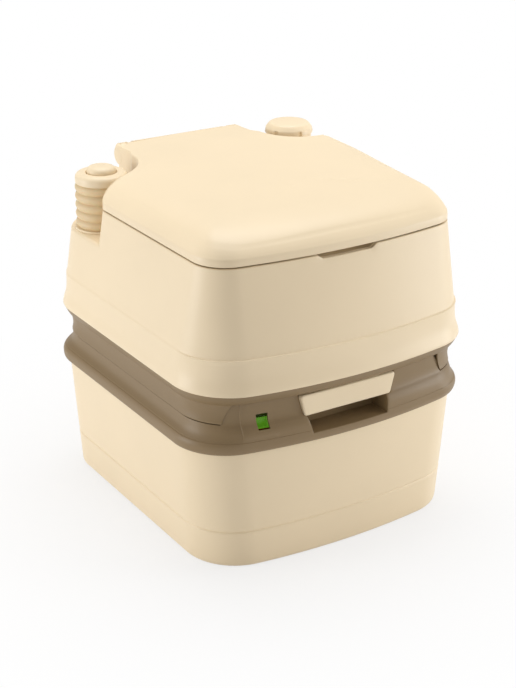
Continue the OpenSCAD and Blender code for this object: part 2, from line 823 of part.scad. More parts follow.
module flush_nozzle() color(cream) {
    from = hose_path[5][1] - hose_r - gap;
    rod_y([0, nozzle_at[1] - 8, nozzle_at[2]], nozzle_r, from - nozzle_at[1] + 8);
    block([-14, 14], [nozzle_at[1] - 12, nozzle_at[1] - 8], [nozzle_at[2] - 10, nozzle_at[2] + 8]);
}

// Filler cap: a domed cap with grip notches on the neck.
cap_skirt = 12;
cap_z = deck_z + neck_h + 2 + gap - cap_skirt;
filler_turn = 360;

module filler_cap() color(cream) {
    edge = 6;
    inside = cap_skirt - 2;
    top = cap_h;
    translate([filler_x, filler_y, cap_z]) difference() {
        rotate_extrude() polygon(concat([[0, 0], [cap_r, 0]],
            [for (a = [0 : 15 : 90]) [cap_r - edge + edge * cos(a), top - 2 - edge + edge * sin(a)]],
            [[cap_r - 2 * edge, top - 0.8], [0, top]]));
        rod([0, 0, -1], neck_r + 0.3, cap_skirt + 1 + 2);
        for (k = [0 : 5]) rotate([0, 0, 60 * k - 35])
            block([cap_r - 1.8, cap_r + 2], [-2.5, 2.5], [-1, top - 9]);
    }
}

module filler_seal() color(rubber_black) {
    difference() {
        rod([filler_x, filler_y, deck_z + neck_h + gap], neck_r - 0.5, 2 - 0.2);
        rod([filler_x, filler_y, deck_z + neck_h - 1], neck_r - 4, 4);
    }
}

module hinge_pins() color(steel) {
    both_sides() rod_x([lid_ear_x - 6, roll_y, roll_z], hinge_pin_r, seat_ear_x + 5 - lid_ear_x + 6);
}

// Seat: an oval ring under the lid, on two knuckles.
seat_low = seam_z + 3.3;
seat_in = 7;
seat_rear = body_d / 2 - 65.5;

module seat_plate(z, grow) {
    p = inset(seam, seat_in + grow);
    loft([for (h = z) [h, [p[0], p[1], p[2], p[3], seat_rear, 10]]]);
}

module seat() color(cream) {
    difference() {
        union() {
            difference() {
                union() {
                    seat_plate([seat_low, seat_low + seat_t - 4], 0);
                    seat_plate([seat_low + seat_t - 4 - eps, seat_low + seat_t], 2.5);
                }
                rear_corners([seat_low - 1, seat_low + seat_t + 1], seat_in);
                oval_hole(bowl_a - seat_over, bowl_b - seat_over, [seat_low - 1, seat_low + seat_t + 1], 0);
            }
            both_sides() hull() {
                rod_x([seat_ear_x - 4, roll_y, roll_z], knuckle_r, 8);
                block([seat_ear_x - 4, seat_ear_x + 4], [seat_rear - 20, seat_rear - 6],
                      [seat_low + 2, seat_low + seat_t - 1]);
            }
        }
        rod_x([-roll_half, roll_y, roll_z], hinge_pin_r + run, 2 * roll_half);
    }
}

module seat_bumpers() color(rubber_black) {
    for (y = [seam[1] + 98.5, seat_rear - 98]) both_sides() rod([bowl_a + 35, y, seam_z + gap], 6, seat_low - seam_z - gap);
}

// Lid: a shallow cover with steep flanks and a long crowned top that rolls down over the hinge.
lid_low = seam_z + 0.6;
// Height over the seam, inset of the sides, inset of the front
lid_shape_h = 42;
lid_shape = [[0.6, 0, 0], [11, 0.5, 0.5], [19, 3, 3], [29, 8, 12], [35, 13, 28], [39, 24, 55],
             [41.5, 60, 120]];

function lid_plan(side, front, rear) =
    [seam[0] - side, seam[1] + front, max(seam[2] - front / 10, 4), max(seam[3] - side, 12), rear, 4];

module lid_solid(drop, grow, rear) {
    difference() {
        loft([for (s = lid_shape)
            [seam_z + s[0] * lid_h / lid_shape_h - drop, lid_plan(s[1] + grow, s[2] + grow, rear)]]);
        rear_corners([seam_z - 10, crest_z + 10], grow);
    }
}

module lid() color(cream) {
    slot = 1;
    difference() {
        union() {
            difference() {
                union() {
                    lid_solid(0, 0, roll_y);
                    rod_x([-roll_half, roll_y, roll_z], roll_r, 2 * roll_half);
                }
                lid_solid(wall, wall, roll_y + 4);
                rod_x([wall + 2 - roll_half, roll_y, roll_z], roll_r - wall - 0.5,
                      2 * (roll_half - wall - 2));
                block([wall + 2 - roll_half, roll_half - wall - 2], [roll_y - 42, body_d],
                      [seam_z - 1, roll_z - 4]);
                both_sides() block([ear_x - ear_half - slot, ear_x + ear_half + slot],
                                   [roll_y + 0.5, body_d], [seam_z, crest_z + 1]);
            }
            both_sides() {
                rod_x([lid_ear_x - 4, roll_y, roll_z], knuckle_r, 8);
                block([lid_ear_x - 4, lid_ear_x + 4], [roll_y - 4, roll_y + 4], [roll_z, crest_z - wall]);
            }
        }
        rod_x([5 - roll_half, roll_y, roll_z], hinge_pin_r + run, 2 * roll_half - 10);
    }
}

waste_tank();
tank_top();
handle_tray();
spout_tray();
mouth_ring();
indicator_lens();
float_pin();
float_arm();
float();
flag_green();
flag_red();
valve_frame();
valve_seal();
valve_blade();
valve_handle();
pour_spout();
spout_seal();
spout_cap();
spout_cap_gasket();
base_frame();
upper_housing();
seat_platform();
filler_neck();
bowl();
outlet_seal();
flush_nozzle();
flush_hose();
pump_base();
intake_tube();
check_valve();
bellows();
pump_top_plate();
pump_button();
filler_cap();
filler_seal();
hinge_pins();
seat();
seat_bumpers();
lid();
latch();
latch_pin();
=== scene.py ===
"""Dresses the packed portable toilet with moulded shells, plastics, a studio and a camera."""
import json

import bmesh
import bpy
import numpy as np
from bpy.props import FloatProperty, FloatVectorProperty, PointerProperty
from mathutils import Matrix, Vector

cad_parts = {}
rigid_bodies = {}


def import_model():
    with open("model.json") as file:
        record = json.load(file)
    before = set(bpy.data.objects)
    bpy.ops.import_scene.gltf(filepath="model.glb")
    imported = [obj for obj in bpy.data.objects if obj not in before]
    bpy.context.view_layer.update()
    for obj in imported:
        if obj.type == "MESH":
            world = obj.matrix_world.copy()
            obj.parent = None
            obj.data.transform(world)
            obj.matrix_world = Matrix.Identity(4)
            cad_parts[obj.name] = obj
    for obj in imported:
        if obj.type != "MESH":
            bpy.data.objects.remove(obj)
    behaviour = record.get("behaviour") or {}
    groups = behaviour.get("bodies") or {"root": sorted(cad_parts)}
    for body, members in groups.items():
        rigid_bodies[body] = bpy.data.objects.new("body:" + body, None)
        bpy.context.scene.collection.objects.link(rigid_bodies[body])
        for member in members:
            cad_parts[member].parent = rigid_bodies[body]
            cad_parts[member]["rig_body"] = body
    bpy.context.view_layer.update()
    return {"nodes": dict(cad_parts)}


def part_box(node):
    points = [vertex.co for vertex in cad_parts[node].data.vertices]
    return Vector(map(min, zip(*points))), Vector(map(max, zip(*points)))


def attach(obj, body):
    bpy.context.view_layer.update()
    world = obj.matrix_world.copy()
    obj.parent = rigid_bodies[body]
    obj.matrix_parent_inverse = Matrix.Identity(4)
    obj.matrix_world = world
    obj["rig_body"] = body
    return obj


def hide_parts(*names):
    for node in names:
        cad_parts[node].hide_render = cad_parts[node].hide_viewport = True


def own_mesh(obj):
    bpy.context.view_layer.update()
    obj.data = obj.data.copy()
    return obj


bl_info = {
    "name": "Portable Toilet",
    "version": (1, 0, 0),
    "blender": (4, 5, 0),
    "location": "View3D > Sidebar > Toilet",
    "description": "Moulded shells, plastics and a studio for a portable toilet",
    "category": "Object",
}

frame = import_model()

MM = 0.001
QUARTER = np.pi / 2

# Half width and half depth of the whole, then heights over the ground, in millimetres
HALF_X, HALF_Y = 191.5, 213.5
GROOVE_Z, LIP_Z, SPLIT_Z, APRON_Z, STRIP_Z = 47.5, 151.0, 186.0, 187.0, 212.8
BEAD_Z, DECK_Z, SEAM_Z = 265.0, 324.0, 366.0
# Axis, radius and half length of the lid's roll, and the lid's crest over the seam
ROLL_Y, ROLL_Z, ROLL_R, ROLL_HALF = 190.0, 394.0, 15.0, 93.0
CREST = 43.0
# Axes of the pump and of the filler, and the round pocket that the platform leaves for each of them
PUMP, FILLER = (-137.5, 139.0), (136.0, 141.0)
POCKET_X, POCKET_Y, POCKET_R = 148.0, 140.0, 55.0
# How far the tan parts' front sheet reaches to the left and to the right, and their rear to both sides
FRONT_LEFT, FRONT_RIGHT, REAR_X = 166.0, 152.0, 125.0
# Y of the wall of the spout's recess
RECESS_Y = 158.0
# Points closer than these are merged, in new pieces and in copies of CAD nodes
WELD, CAD_WELD = 0.004, 0.005


def plan(side, front, rear, bow, front_r, rear_r):
    """A plan outline from the insets of its sides, front and rear, the front's bow and the corner radii. Its
    numbers are half width, y of the front, bow, front corner, y of the rear and rear corner."""
    return np.array([HALF_X - side, front - HALF_Y, bow, front_r, HALF_Y - rear, rear_r])


SKIRT = plan(0, 0, 0, 27, 75, 80)
BEAD = plan(6.8, 6.8, 6.8, 27, 68, 73)
SEAM = plan(23, 25, 14.5, 18, 42, 62)
SHOULDER = plan(6.5, 12, 12, 24, 66, 64)
FOOT = plan(17, 18, 22.5, 18, 68, 52)


def mix(a, b, t):
    """A blend: a where t is 0, b where t is 1."""
    return a * (1 - t) + b * t


def inset(p, d):
    """Plan outlines moved in by d: each edge and each corner radius loses d, down to a small radius."""
    least = 1.5
    out = p + np.asarray(d, float)[..., None] * np.array([-1.0, 1, 0, -1, -1, -1])
    out[..., 3] = np.maximum(out[..., 3], least)
    out[..., 5] = np.maximum(out[..., 5], least)
    return out


def smooth(x, low, high):
    """An S-shaped step: 3 t squared less 2 t cubed."""
    t = np.clip((x - low) / (high - low), 0, 1)
    return t * t * (3 - 2 * t)


def curve(x, xp, fp):
    """A cubic through points, whose slope at each is the mean of its neighbours' slopes."""
    xp, fp = np.asarray(xp, float), np.asarray(fp, float)
    step = np.diff(fp) / np.diff(xp)
    slope = np.concatenate([step[:1], (step[:-1] + step[1:]) / 2, step[-1:]])
    x = np.clip(x, xp[0], xp[-1])
    i = np.clip(np.searchsorted(xp, x, side="right") - 1, 0, len(xp) - 2)
    w = xp[i + 1] - xp[i]
    t = (x - xp[i]) / w
    return ((1 + 2 * t) * (1 - t) ** 2 * fp[i] + t * (1 - t) ** 2 * w * slope[i]
            + t * t * (3 - 2 * t) * fp[i + 1] + t * t * (t - 1) * w * slope[i + 1])


def arc(cx, cy, r, a0, a1, n, close=False):
    """Points round a circle: centre plus r times (sine, minus cosine) of an angle from -Y towards +X."""
    cx, cy, r, a0, a1 = np.broadcast_arrays(cx, cy, r, a0, a1)
    a = a0[..., None] + (a1 - a0)[..., None] * np.linspace(0, 1, n, endpoint=close)
    return np.stack([cx[..., None] + r[..., None] * np.sin(a), cy[..., None] - r[..., None] * np.cos(a)], -1)


def line(x0, y0, x1, y1, n, close=False):
    """Evenly spaced points from one end to the other."""
    x0, y0, x1, y1 = np.broadcast_arrays(x0, y0, x1, y1)
    t = np.linspace(0, 1, n, endpoint=close)
    return np.stack([mix(x0[..., None], x1[..., None], t), mix(y0[..., None], y1[..., None], t)], -1)


def front_bow(p):
    """Radius and centre of the front's big circle, and the front corner's centre and first angle."""
    big = (p[..., 0] ** 2 + p[..., 2] ** 2) / (2 * p[..., 2])
    yc = p[..., 1] + big
    cx = p[..., 0] - p[..., 3]
    cy = yc - np.sqrt((big - p[..., 3]) ** 2 - cx ** 2)
    return big, yc, cx, cy, np.arctan2(cx, yc - cy)


def front_y(p, x):
    """Y of an outline's front at x: on the big circle, or on the corner's circle outside it."""
    big, yc, cx, cy, turn = [v[..., None] for v in front_bow(p)]
    r = p[..., 3, None]
    a = np.abs(x)
    corner = cy - np.sqrt(np.maximum(r ** 2 - np.maximum(a - cx, 0) ** 2, 0))
    return np.where(a < cx + r * np.sin(turn), yc - np.sqrt(big ** 2 - a ** 2), corner)


def rear_y(p, x):
    """Y of an outline's rear at x: straight, and round the corner's circle outside it."""
    rr = p[..., 5, None]
    out = np.maximum(np.abs(x) - (p[..., 0, None] - rr), 0)
    return p[..., 4, None] - rr + np.sqrt(np.maximum(rr ** 2 - out ** 2, 0))


def side_path(p, xf, xr):
    """Right side of outlines, from x = xf on the front corner to x = xr on the rear corner."""
    n = (20, 30, 22)
    cx, cy = front_bow(p)[2:4]
    hx, rf, yr, rr = p[..., 0], p[..., 3], p[..., 4], p[..., 5]
    a0 = np.arcsin((xf - cx) / rf)
    a1 = np.pi - np.arcsin(np.clip((xr - hx + rr) / rr, 0, 1))
    return np.concatenate([arc(cx, cy, rf, a0, QUARTER, n[0]), line(hx, cy, hx, yr - rr, n[1]),
                           arc(hx - rr, yr - rr, rr, QUARTER, a1, n[2], True)], -2)


# Columns of half an outline: front and front corner, side, and the stretches round the rear pocket
FRONT_COUNTS = (44, 22)
SIDE_COUNT = 26
REAR_COUNTS = (8, 5, 26, 16, 6, 18)
SIDE_END = sum(FRONT_COUNTS) + SIDE_COUNT
# Y and radius of the turn from the side in to the pocket, and radius of the corner beside the roll
CORNER_Y, CORNER_R, ROLL_CORNER_R = 85.0, 12.0, 4.0


def front_half(p):
    """The front's right half and its corner, from the middle."""
    big, yc, cx, cy, turn = front_bow(p)
    return np.concatenate([arc(0 * big, yc, big, 0 * big, turn, FRONT_COUNTS[0]),
                           arc(cx, cy, p[..., 3], turn, QUARTER, FRONT_COUNTS[1])], -2)


def pocket_ring(p, grow=0.0):
    """Ring of an outline whose rear corners are cut away by round pockets, grown by the given amount."""
    grow = np.asarray(grow, float)
    hx, yr = p[..., 0], p[..., 4]
    cy = front_bow(p)[3]
    r = np.maximum(CORNER_R - grow, 1.0)
    q = np.maximum(ROLL_CORNER_R - grow, 0.6)
    y0, x1 = CORNER_Y - grow, ROLL_HALF - grow
    n = REAR_COUNTS
    a = np.linspace(0, QUARTER, n[2], endpoint=False)
    hollow = np.stack([POCKET_X - (POCKET_R + grow)[..., None] * np.sin(a),
                       POCKET_Y - (POCKET_R + grow)[..., None] * np.cos(a)], -1)
    hollow = np.broadcast_to(hollow, hx.shape + hollow.shape[-2:])
    return whole([
        front_half(p), line(hx, cy, hx, y0 - r, SIDE_COUNT),
        arc(hx - r, y0 - r, r, QUARTER, 2 * QUARTER, n[0]),
        line(hx - r, y0, POCKET_X + 0 * hx, y0, n[1]), hollow,
        line(x1 + 0 * hx, POCKET_Y, x1, yr - q, n[3]),
        arc(x1 - q + 0 * hx, yr - q, q, QUARTER, 2 * QUARTER, n[4]),
        line(x1 - q + 0 * hx, yr, 0 * hx, yr, n[5], True)])


def plain_ring(p):
    """Ring of a plain outline, with its points matched to those of pocket_ring. The walk round its rear goes
    from 0 to 1 along the side, to 2 round the corner and to 3 along the rear."""
    hx, yr, rr = p[..., 0], p[..., 4], p[..., 5]
    cy = front_bow(p)[3]
    y0 = CORNER_Y - CORNER_R
    knots = [0, 0.15, 0.45, 1.45, 2.05, 2.1, 3]
    walk = np.concatenate([np.linspace(a, b, n, endpoint=b == 3)
                           for a, b, n in zip(knots[:-1], knots[1:], REAR_COUNTS)])
    first, second, third = np.clip(walk, 0, 1), np.clip(walk - 1, 0, 1), np.clip(walk - 2, 0, 1)
    side = line(hx, cy, hx, y0, SIDE_COUNT)
    hx, yr, rr = hx[..., None], yr[..., None], rr[..., None]
    a = QUARTER * (1 + second)
    x = np.where(walk < 2, hx - rr + rr * np.sin(a), (hx - rr) * (1 - third))
    y = np.where(walk < 1, mix(y0, yr - rr, first), yr - rr - rr * np.cos(a))
    return whole([front_half(p), side, np.stack([x, y], -1)])


def whole(parts):
    """Parts of a right half and their mirror image, as one closed ring from the front's middle."""
    half = np.concatenate(parts, -2)
    return np.concatenate([half, half[..., ::-1, :][..., 1:-1, :] * np.array([-1, 1])], -2)


def lift(ring, z):
    """Rings of plan points with their heights, one for each ring or each point."""
    z = np.asarray(z, float)
    if z.ndim == 1:
        z = z[:, None]
    return np.concatenate([ring, np.broadcast_to(z, ring.shape[:-1])[..., None]], -1)


def nearest(values, wanted):
    """Number of the value that is nearest to the wanted one."""
    return int(np.argmin(np.abs(values - wanted)))


def linked(name, data):
    """A new object, linked to the scene."""
    obj = bpy.data.objects.new(name, data)
    bpy.context.scene.collection.objects.link(obj)
    return obj


def baked(obj, kind, values):
    """Applies a modifier to a piece, so that its mesh is final."""
    modifier = obj.modifiers.new(kind, kind)
    for key, value in values.items():
        setattr(modifier, key, value)
    bpy.context.view_layer.update()
    mesh = bpy.data.meshes.new_from_object(obj.evaluated_get(bpy.context.evaluated_depsgraph_get()))
    obj.modifiers.clear()
    obj.data = mesh


def place(obj, body, slot, stands_for, angle):
    """Shades and paints a finished piece, and says what it rides on and what it stands for."""
    obj.data.shade_smooth()
    obj.data.set_sharp_from_angle(angle=np.radians(angle))
    obj.data.materials.clear()
    obj.data.materials.append(bpy.data.materials[MATERIALS[slot]])
    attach(obj, body)
    if stands_for:
        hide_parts(*stands_for)


def piece(name, grids, body, slot, stands_for=(), wall=0.0, angle=35):
    """A piece from grids of points in millimetres: (points, whether the columns close, openings). Each
    opening is a block of cells left out, as first row, last row, first column and last column. The wall is a
    thickness inwards, and edges that turn by more than the angle look sharp."""
    points, faces, start = [], [], 0
    for grid, wrap, openings in grids:
        m, n = grid.shape[:2]
        index = start + np.arange(m * n).reshape(m, n)
        if wrap:
            index = np.concatenate([index, index[:, :1]], 1)
        quads = np.stack([index[:-1, :-1], index[:-1, 1:], index[1:, 1:], index[1:, :-1]], -1)
        kept = np.ones(quads.shape[:2], bool)
        for r0, r1, c0, c1 in openings:
            kept[r0:r1, c0:c1] = False
        faces.append(quads[kept])
        points.append(grid.reshape(-1, 3))
        start += m * n
    mesh = bpy.data.meshes.new(name)
    mesh.from_pydata(np.concatenate(points) * MM, [], np.concatenate(faces))
    bm = bmesh.new()
    bm.from_mesh(mesh)
    bmesh.ops.remove_doubles(bm, verts=bm.verts, dist=WELD * MM)
    bmesh.ops.dissolve_degenerate(bm, edges=bm.edges, dist=WELD * MM)
    bm.to_mesh(mesh)
    bm.free()
    obj = linked(name, mesh)
    if wall:
        baked(obj, "SOLIDIFY", {"thickness": wall * MM, "offset": -1.0})
    place(obj, body, slot, stands_for, angle)
    return obj


def dressed(node, slot, bevel):
    """A CAD node's own shape, copied, merged and given moulded edges."""
    source = frame["nodes"][node]
    obj = linked(node + "_moulded", source.data.copy())
    bm = bmesh.new()
    bm.from_mesh(obj.data)
    bmesh.ops.remove_doubles(bm, verts=bm.verts, dist=CAD_WELD * MM)
    bmesh.ops.dissolve_limit(bm, angle_limit=np.radians(0.5), verts=bm.verts, edges=bm.edges)
    bm.to_mesh(obj.data)
    bm.free()
    baked(obj, "BEVEL", {"width": bevel * MM, "segments": 3, "limit_method": "ANGLE",
                         "angle_limit": np.radians(40)})
    place(obj, source["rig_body"], slot, (node,), 30)


def turned(profile, centre, n=96):
    """A profile of (radius, height) turned round a vertical axis."""
    a = np.arange(n) * 2 * np.pi / n
    r, z = np.asarray(profile, float).T
    ring = np.stack([centre[0] + r[:, None] * np.cos(a), centre[1] + r[:, None] * np.sin(a)], -1)
    return lift(ring, z)


def rounded(corners, steps=6):
    """A path through (across, up, radius) corners, each rounded by an arc of its radius."""
    c = np.array(corners, float)
    path = [c[:1, :2]]
    for before, here, after in zip(c[:-2], c[1:-1], c[2:]):
        a, b = before[:2] - here[:2], after[:2] - here[:2]
        a, b = a / np.linalg.norm(a), b / np.linalg.norm(b)
        half = np.arccos(np.clip(a @ b, -1, 1)) / 2
        # A corner without a radius, or one that hardly turns, stays as it is
        if here[2] <= 0 or half > 1.55:
            path.append(here[None, :2])
            continue
        reach = here[2] / np.tan(half)
        middle = here[:2] + (a + b) / np.linalg.norm(a + b) * here[2] / np.sin(half)
        t = np.linspace(0, 1, steps + 1)[:, None]
        start, end = here[:2] + a * reach - middle, here[:2] + b * reach - middle
        turn = np.arccos(np.clip(start @ end / here[2] ** 2, -1, 1))
        path.append(middle + (np.sin((1 - t) * turn) * start + np.sin(t * turn) * end) / np.sin(turn))
    path.append(c[-1:, :2])
    return np.concatenate(path)


# Materials

def linear(hexcode):
    """An sRGB hex colour as linear numbers."""
    s = np.array([int(hexcode[i:i + 2], 16) for i in (1, 3, 5)]) / 255
    return tuple(np.where(s <= 0.04045, s / 12.92, ((s + 0.055) / 1.055) ** 2.4))


def add(tree, kind, settings=None, links=None):
    """Adds a shader node, with its properties or sockets set and its inputs linked."""
    node = tree.nodes.new("ShaderNode" + kind)
    for key, value in (settings or {}).items():
        if isinstance(key, int) or key in node.inputs:
            node.inputs[key].default_value = value
        else:
            setattr(node, key, value)
    for key, source in (links or {}).items():
        tree.links.new(source, node.inputs[key])
    return node


def empty_tree(owner):
    """The node tree of a material or a world, with nothing in it."""
    owner.use_nodes = True
    owner.node_tree.nodes.clear()
    return owner.node_tree


def moulded(name, colour, roughness, grain, more):
    """A moulded or other even finish: a colour that clouds over to 3% darker, a fine grain like that of a
    spark-eroded mould, and patchy gloss. The real grain is about 0.1 mm. It is drawn as coarse as the given
    millimetres, so that it shows."""
    tree = empty_tree(bpy.data.materials.new(name))
    base = np.array(colour)
    at = add(tree, "TexCoord").outputs["Object"]
    cloud = add(tree, "TexNoise", {"Scale": 9.0, "Detail": 3.0, "Roughness": 0.55}, {"Vector": at})
    # A noise of scale 1 has its bumps about 1 / 2.2 m apart
    fine = add(tree, "TexNoise", {"Scale": 1000 / grain / 2.2, "Detail": 2.0}, {"Vector": at})
    tone = add(tree, "MapRange", {"From Min": 0.3, "From Max": 0.7}, {"Value": cloud.outputs["Fac"]})
    colours = add(tree, "Mix", {"data_type": "RGBA"}, {"Factor": tone.outputs["Result"]})
    colours.inputs[6].default_value = (*base, 1)
    colours.inputs[7].default_value = (*(base * 0.97), 1)
    gloss = add(tree, "MapRange",
                {"From Min": 0.25, "From Max": 0.75, "To Min": roughness - 0.04, "To Max": roughness + 0.05},
                {"Value": fine.outputs["Fac"]})
    bump = add(tree, "Bump", {"Strength": 0.25, "Distance": 0.03 * MM}, {"Height": fine.outputs["Fac"]})
    shader = add(tree, "BsdfPrincipled", {"IOR": 1.49, **more},
                 {"Base Color": colours.outputs[2], "Roughness": gloss.outputs["Result"],
                  "Normal": bump.outputs["Normal"]})
    add(tree, "OutputMaterial", links={"Surface": shader.outputs["BSDF"]})


# Material, roughness, grain in mm and further settings of each slot but the clear one
MOULDED = {
    # Warm and satin: broad soft highlights, and edges that stay soft
    "cream_plastic": ("Moulded cream ABS", 0.42, 0.9, {}),
    # A little duller, so that it looks deeper than the cream
    "tan_plastic": ("Moulded tan ABS", 0.45, 0.9, {}),
    # Pale and even, for works that hardly show
    "grey_plastic": ("Moulded grey ABS", 0.45, 0.9, {}),
    # Waxy: light enters a little way and warms the folds
    "bellows_plastic": ("Soft bellows polyethylene", 0.5, 1.2,
                        {"Subsurface Weight": 0.1, "Subsurface Scale": 0.002}),
    # Dull and nearly black, with hardly a highlight
    "black_rubber": ("Black rubber", 0.75, 0.6, {"IOR": 1.52}),
    # Smooth and bright. Its faint glow stands for the light that reaches it through a real window
    "green_plastic": ("Green styrene flag", 0.25, 1.5,
                      {"Emission Color": (0.13, 0.4, 0.02, 1), "Emission Strength": 0.45}),
    # Smooth and bright
    "red_plastic": ("Red styrene flag", 0.25, 1.5, {}),
    # Chalky, without gloss
    "white_foam": ("White foam", 0.85, 1.5, {}),
    # Bright metal with a soft, drawn gloss
    "steel": ("Drawn steel", 0.3, 0.4, {"Metallic": 1.0, "IOR": 1.5}),
}
MATERIALS = {slot: row[0] for slot, row in MOULDED.items()}
MATERIALS["clear_plastic"] = "Clear styrene window"


def length_prop(label, about, default, least, most):
    """A length that a user may change, given here in millimetres."""
    return FloatProperty(name=label, description=about, default=default * MM, min=least * MM, max=most * MM,
                         precision=4, subtype="DISTANCE", unit="LENGTH")


class ToiletSizes(bpy.types.PropertyGroup):
    """Sizes that a user may change."""
    wall: length_prop("Wall", "Thickness of the moulded shells", 3.0, 1.5, 3.4)
    lip_groove: length_prop("Lip groove", "Depth of the fine line under the waist", 0.35, 0, 1.5)
    foot_groove: length_prop("Foot groove", "Depth of the groove round the foot", 1.2, 0, 2)
    lid_edge: length_prop("Lid edge", "Rounding of the lid's rear corners", 2.2, 0.5, 4)
    handle_edge: length_prop("Handle edge", "Rounding of the handle's face", 2.0, 0.5, 4)


def colour_prop(label, hexcode):
    """A finish's colour, given here as sRGB hex."""
    return FloatVectorProperty(name=label, description=f"Colour of the {label.lower()} finish in white light",
                               subtype="COLOR", size=3, min=0, max=1, default=linear(hexcode))


class ToiletColours(bpy.types.PropertyGroup):
    """The colour of each finish."""
    cream_plastic: colour_prop("Cream", "#F2E0C0")
    tan_plastic: colour_prop("Tan", "#8A7453")
    grey_plastic: colour_prop("Grey", "#C9C4B8")
    bellows_plastic: colour_prop("Bellows", "#E2CBA3")
    black_rubber: colour_prop("Rubber", "#262422")
    clear_plastic: colour_prop("Clear", "#EEF4E8")
    green_plastic: colour_prop("Green", "#6C9030")
    red_plastic: colour_prop("Red", "#B0302A")
    white_foam: colour_prop("Foam", "#EFEAE0")
    steel: colour_prop("Steel", "#B9BBBD")


def size(key):
    """A size that the user may have changed, in millimetres."""
    return getattr(bpy.context.scene.toilet_sizes, key) / MM


def spread(knots, counts):
    """Columns between knots, evenly spaced from each knot to the next."""
    parts = [mix(knots[:, i:i + 1], knots[:, i + 1:i + 2], np.linspace(0, 1, n, endpoint=False))
             for i, n in enumerate(counts)]
    return np.concatenate(parts + [knots[:, -1:]], 1)


def at_knot(counts):
    """Column number of each knot."""
    return np.concatenate([[0], np.cumsum(counts)])


def arc_steps(n):
    """Sines and versines of a quarter turn."""
    t = np.linspace(0, QUARTER, n)
    return np.sin(t), 1 - np.cos(t)


def around(p, knots, counts):
    """Right side, rear and left side of outlines, from one end of the front sheet round to the other, and the
    columns at which the rear's knots lie."""
    right = side_path(p, FRONT_RIGHT, REAR_X)
    left = side_path(p, FRONT_LEFT, REAR_X)[..., ::-1, :] * np.array([-1, 1])
    x = spread(np.broadcast_to(np.array(knots, float), (len(p), len(knots))), counts)
    rear = np.stack([x, rear_y(p, x)], -1)
    ring = np.concatenate([right[..., 1:, :], rear[..., 1:-1, :], left[..., :-1, :]], -2)
    return ring, right.shape[-2] - 2 + at_knot(counts)


def band_plan(z):
    """Outline of the tan top of the waste tank at a height: a round lip, a waist that sweeps in above it. The
    inset of each edge is a curve over the height."""
    edge_z = [151, 151.6, 152.6, 154.5, 158, 161, 163, 165.5, 168, 171, 174, 178, 183, 187, 200, 213]
    side = curve(z, edge_z, [4, 2, 1, 0.5, 0.3, 0.4, 0.9, 2.2, 4.1, 6.6, 8.6, 10.1, 10.9, 11.2, 11.5, 11.5])
    rear = curve(z, edge_z, [8, 6, 5, 4.4, 4.1, 4.2, 4.6, 5.6, 7, 8.8, 10, 10.8, 11.2, 11.3, 11.5, 11.5])
    front = curve(z, [151, 152, 153.5, 155.5, 158.5, 162, 168, 174, 178, 183, 186, 191, 200, 213],
                  [9.5, 7.3, 6.1, 5.2, 4.3, 4.0, 4.0, 4.3, 5.2, 7.6, 9.6, 11.0, 11.5, 11.5])
    groove = size("lip_groove") * np.interp(z, [166.4, 166.8, 167.4, 167.8], [0, 1, 1, 0])
    w = smooth(z, 165, 190)
    out = np.stack([HALF_X - side, front - HALF_Y, mix(26.5, 27, w), mix(68, 63.5, w), HALF_Y - rear,
                    mix(66, 68.5, w)], -1)
    return inset(out, groove)


def tub():
    """Lower tank: plan outlines mixed from foot to shoulder, with a round foot edge and a groove."""
    top = LIP_Z - 0.3
    foot_top = mix(FOOT, SHOULDER, GROOVE_Z / top)
    s, v = arc_steps(9)
    edge_r = 7
    rows = [(inset(FOOT, edge_r), 0.02)]
    rows += [(inset(mix(FOOT, SHOULDER, 0.04), edge_r * (1 - a)), edge_r * b) for a, b in zip(s, v)]
    rows += [(mix(FOOT, foot_top, t), mix(0, GROOVE_Z, t)) for t in (0.3, 0.5, 0.7, 0.85, 0.93)]
    # Share of the groove's depth, and height from its middle
    groove = ((0, -2.2), (0.25, -1.2), (0.8, -0.4), (1, 0), (0.85, 0.5), (0.3, 1.3), (0.05, 2.4))
    rows += [(inset(foot_top, e * size("foot_groove")), GROOVE_Z + h) for e, h in groove]
    rows += [(mix(FOOT, SHOULDER, z / top), z) for z in (53, 60, 75, 90, 105, 120, 135, 145, top)]
    plans = np.array([r[0] for r in rows])
    heights = np.array([r[1] for r in rows])
    side = lift(plain_ring(plans), heights)
    floor = np.stack([side[0] * [t, t, 1] for t in (1.0, 0.7, 0.35, 0.0)])[::-1]
    grid = np.concatenate([floor, side[1:]])
    piece("tub_shell", [(grid, True, ())], "tank", "cream_plastic", ("waste_tank",), size("wall"))


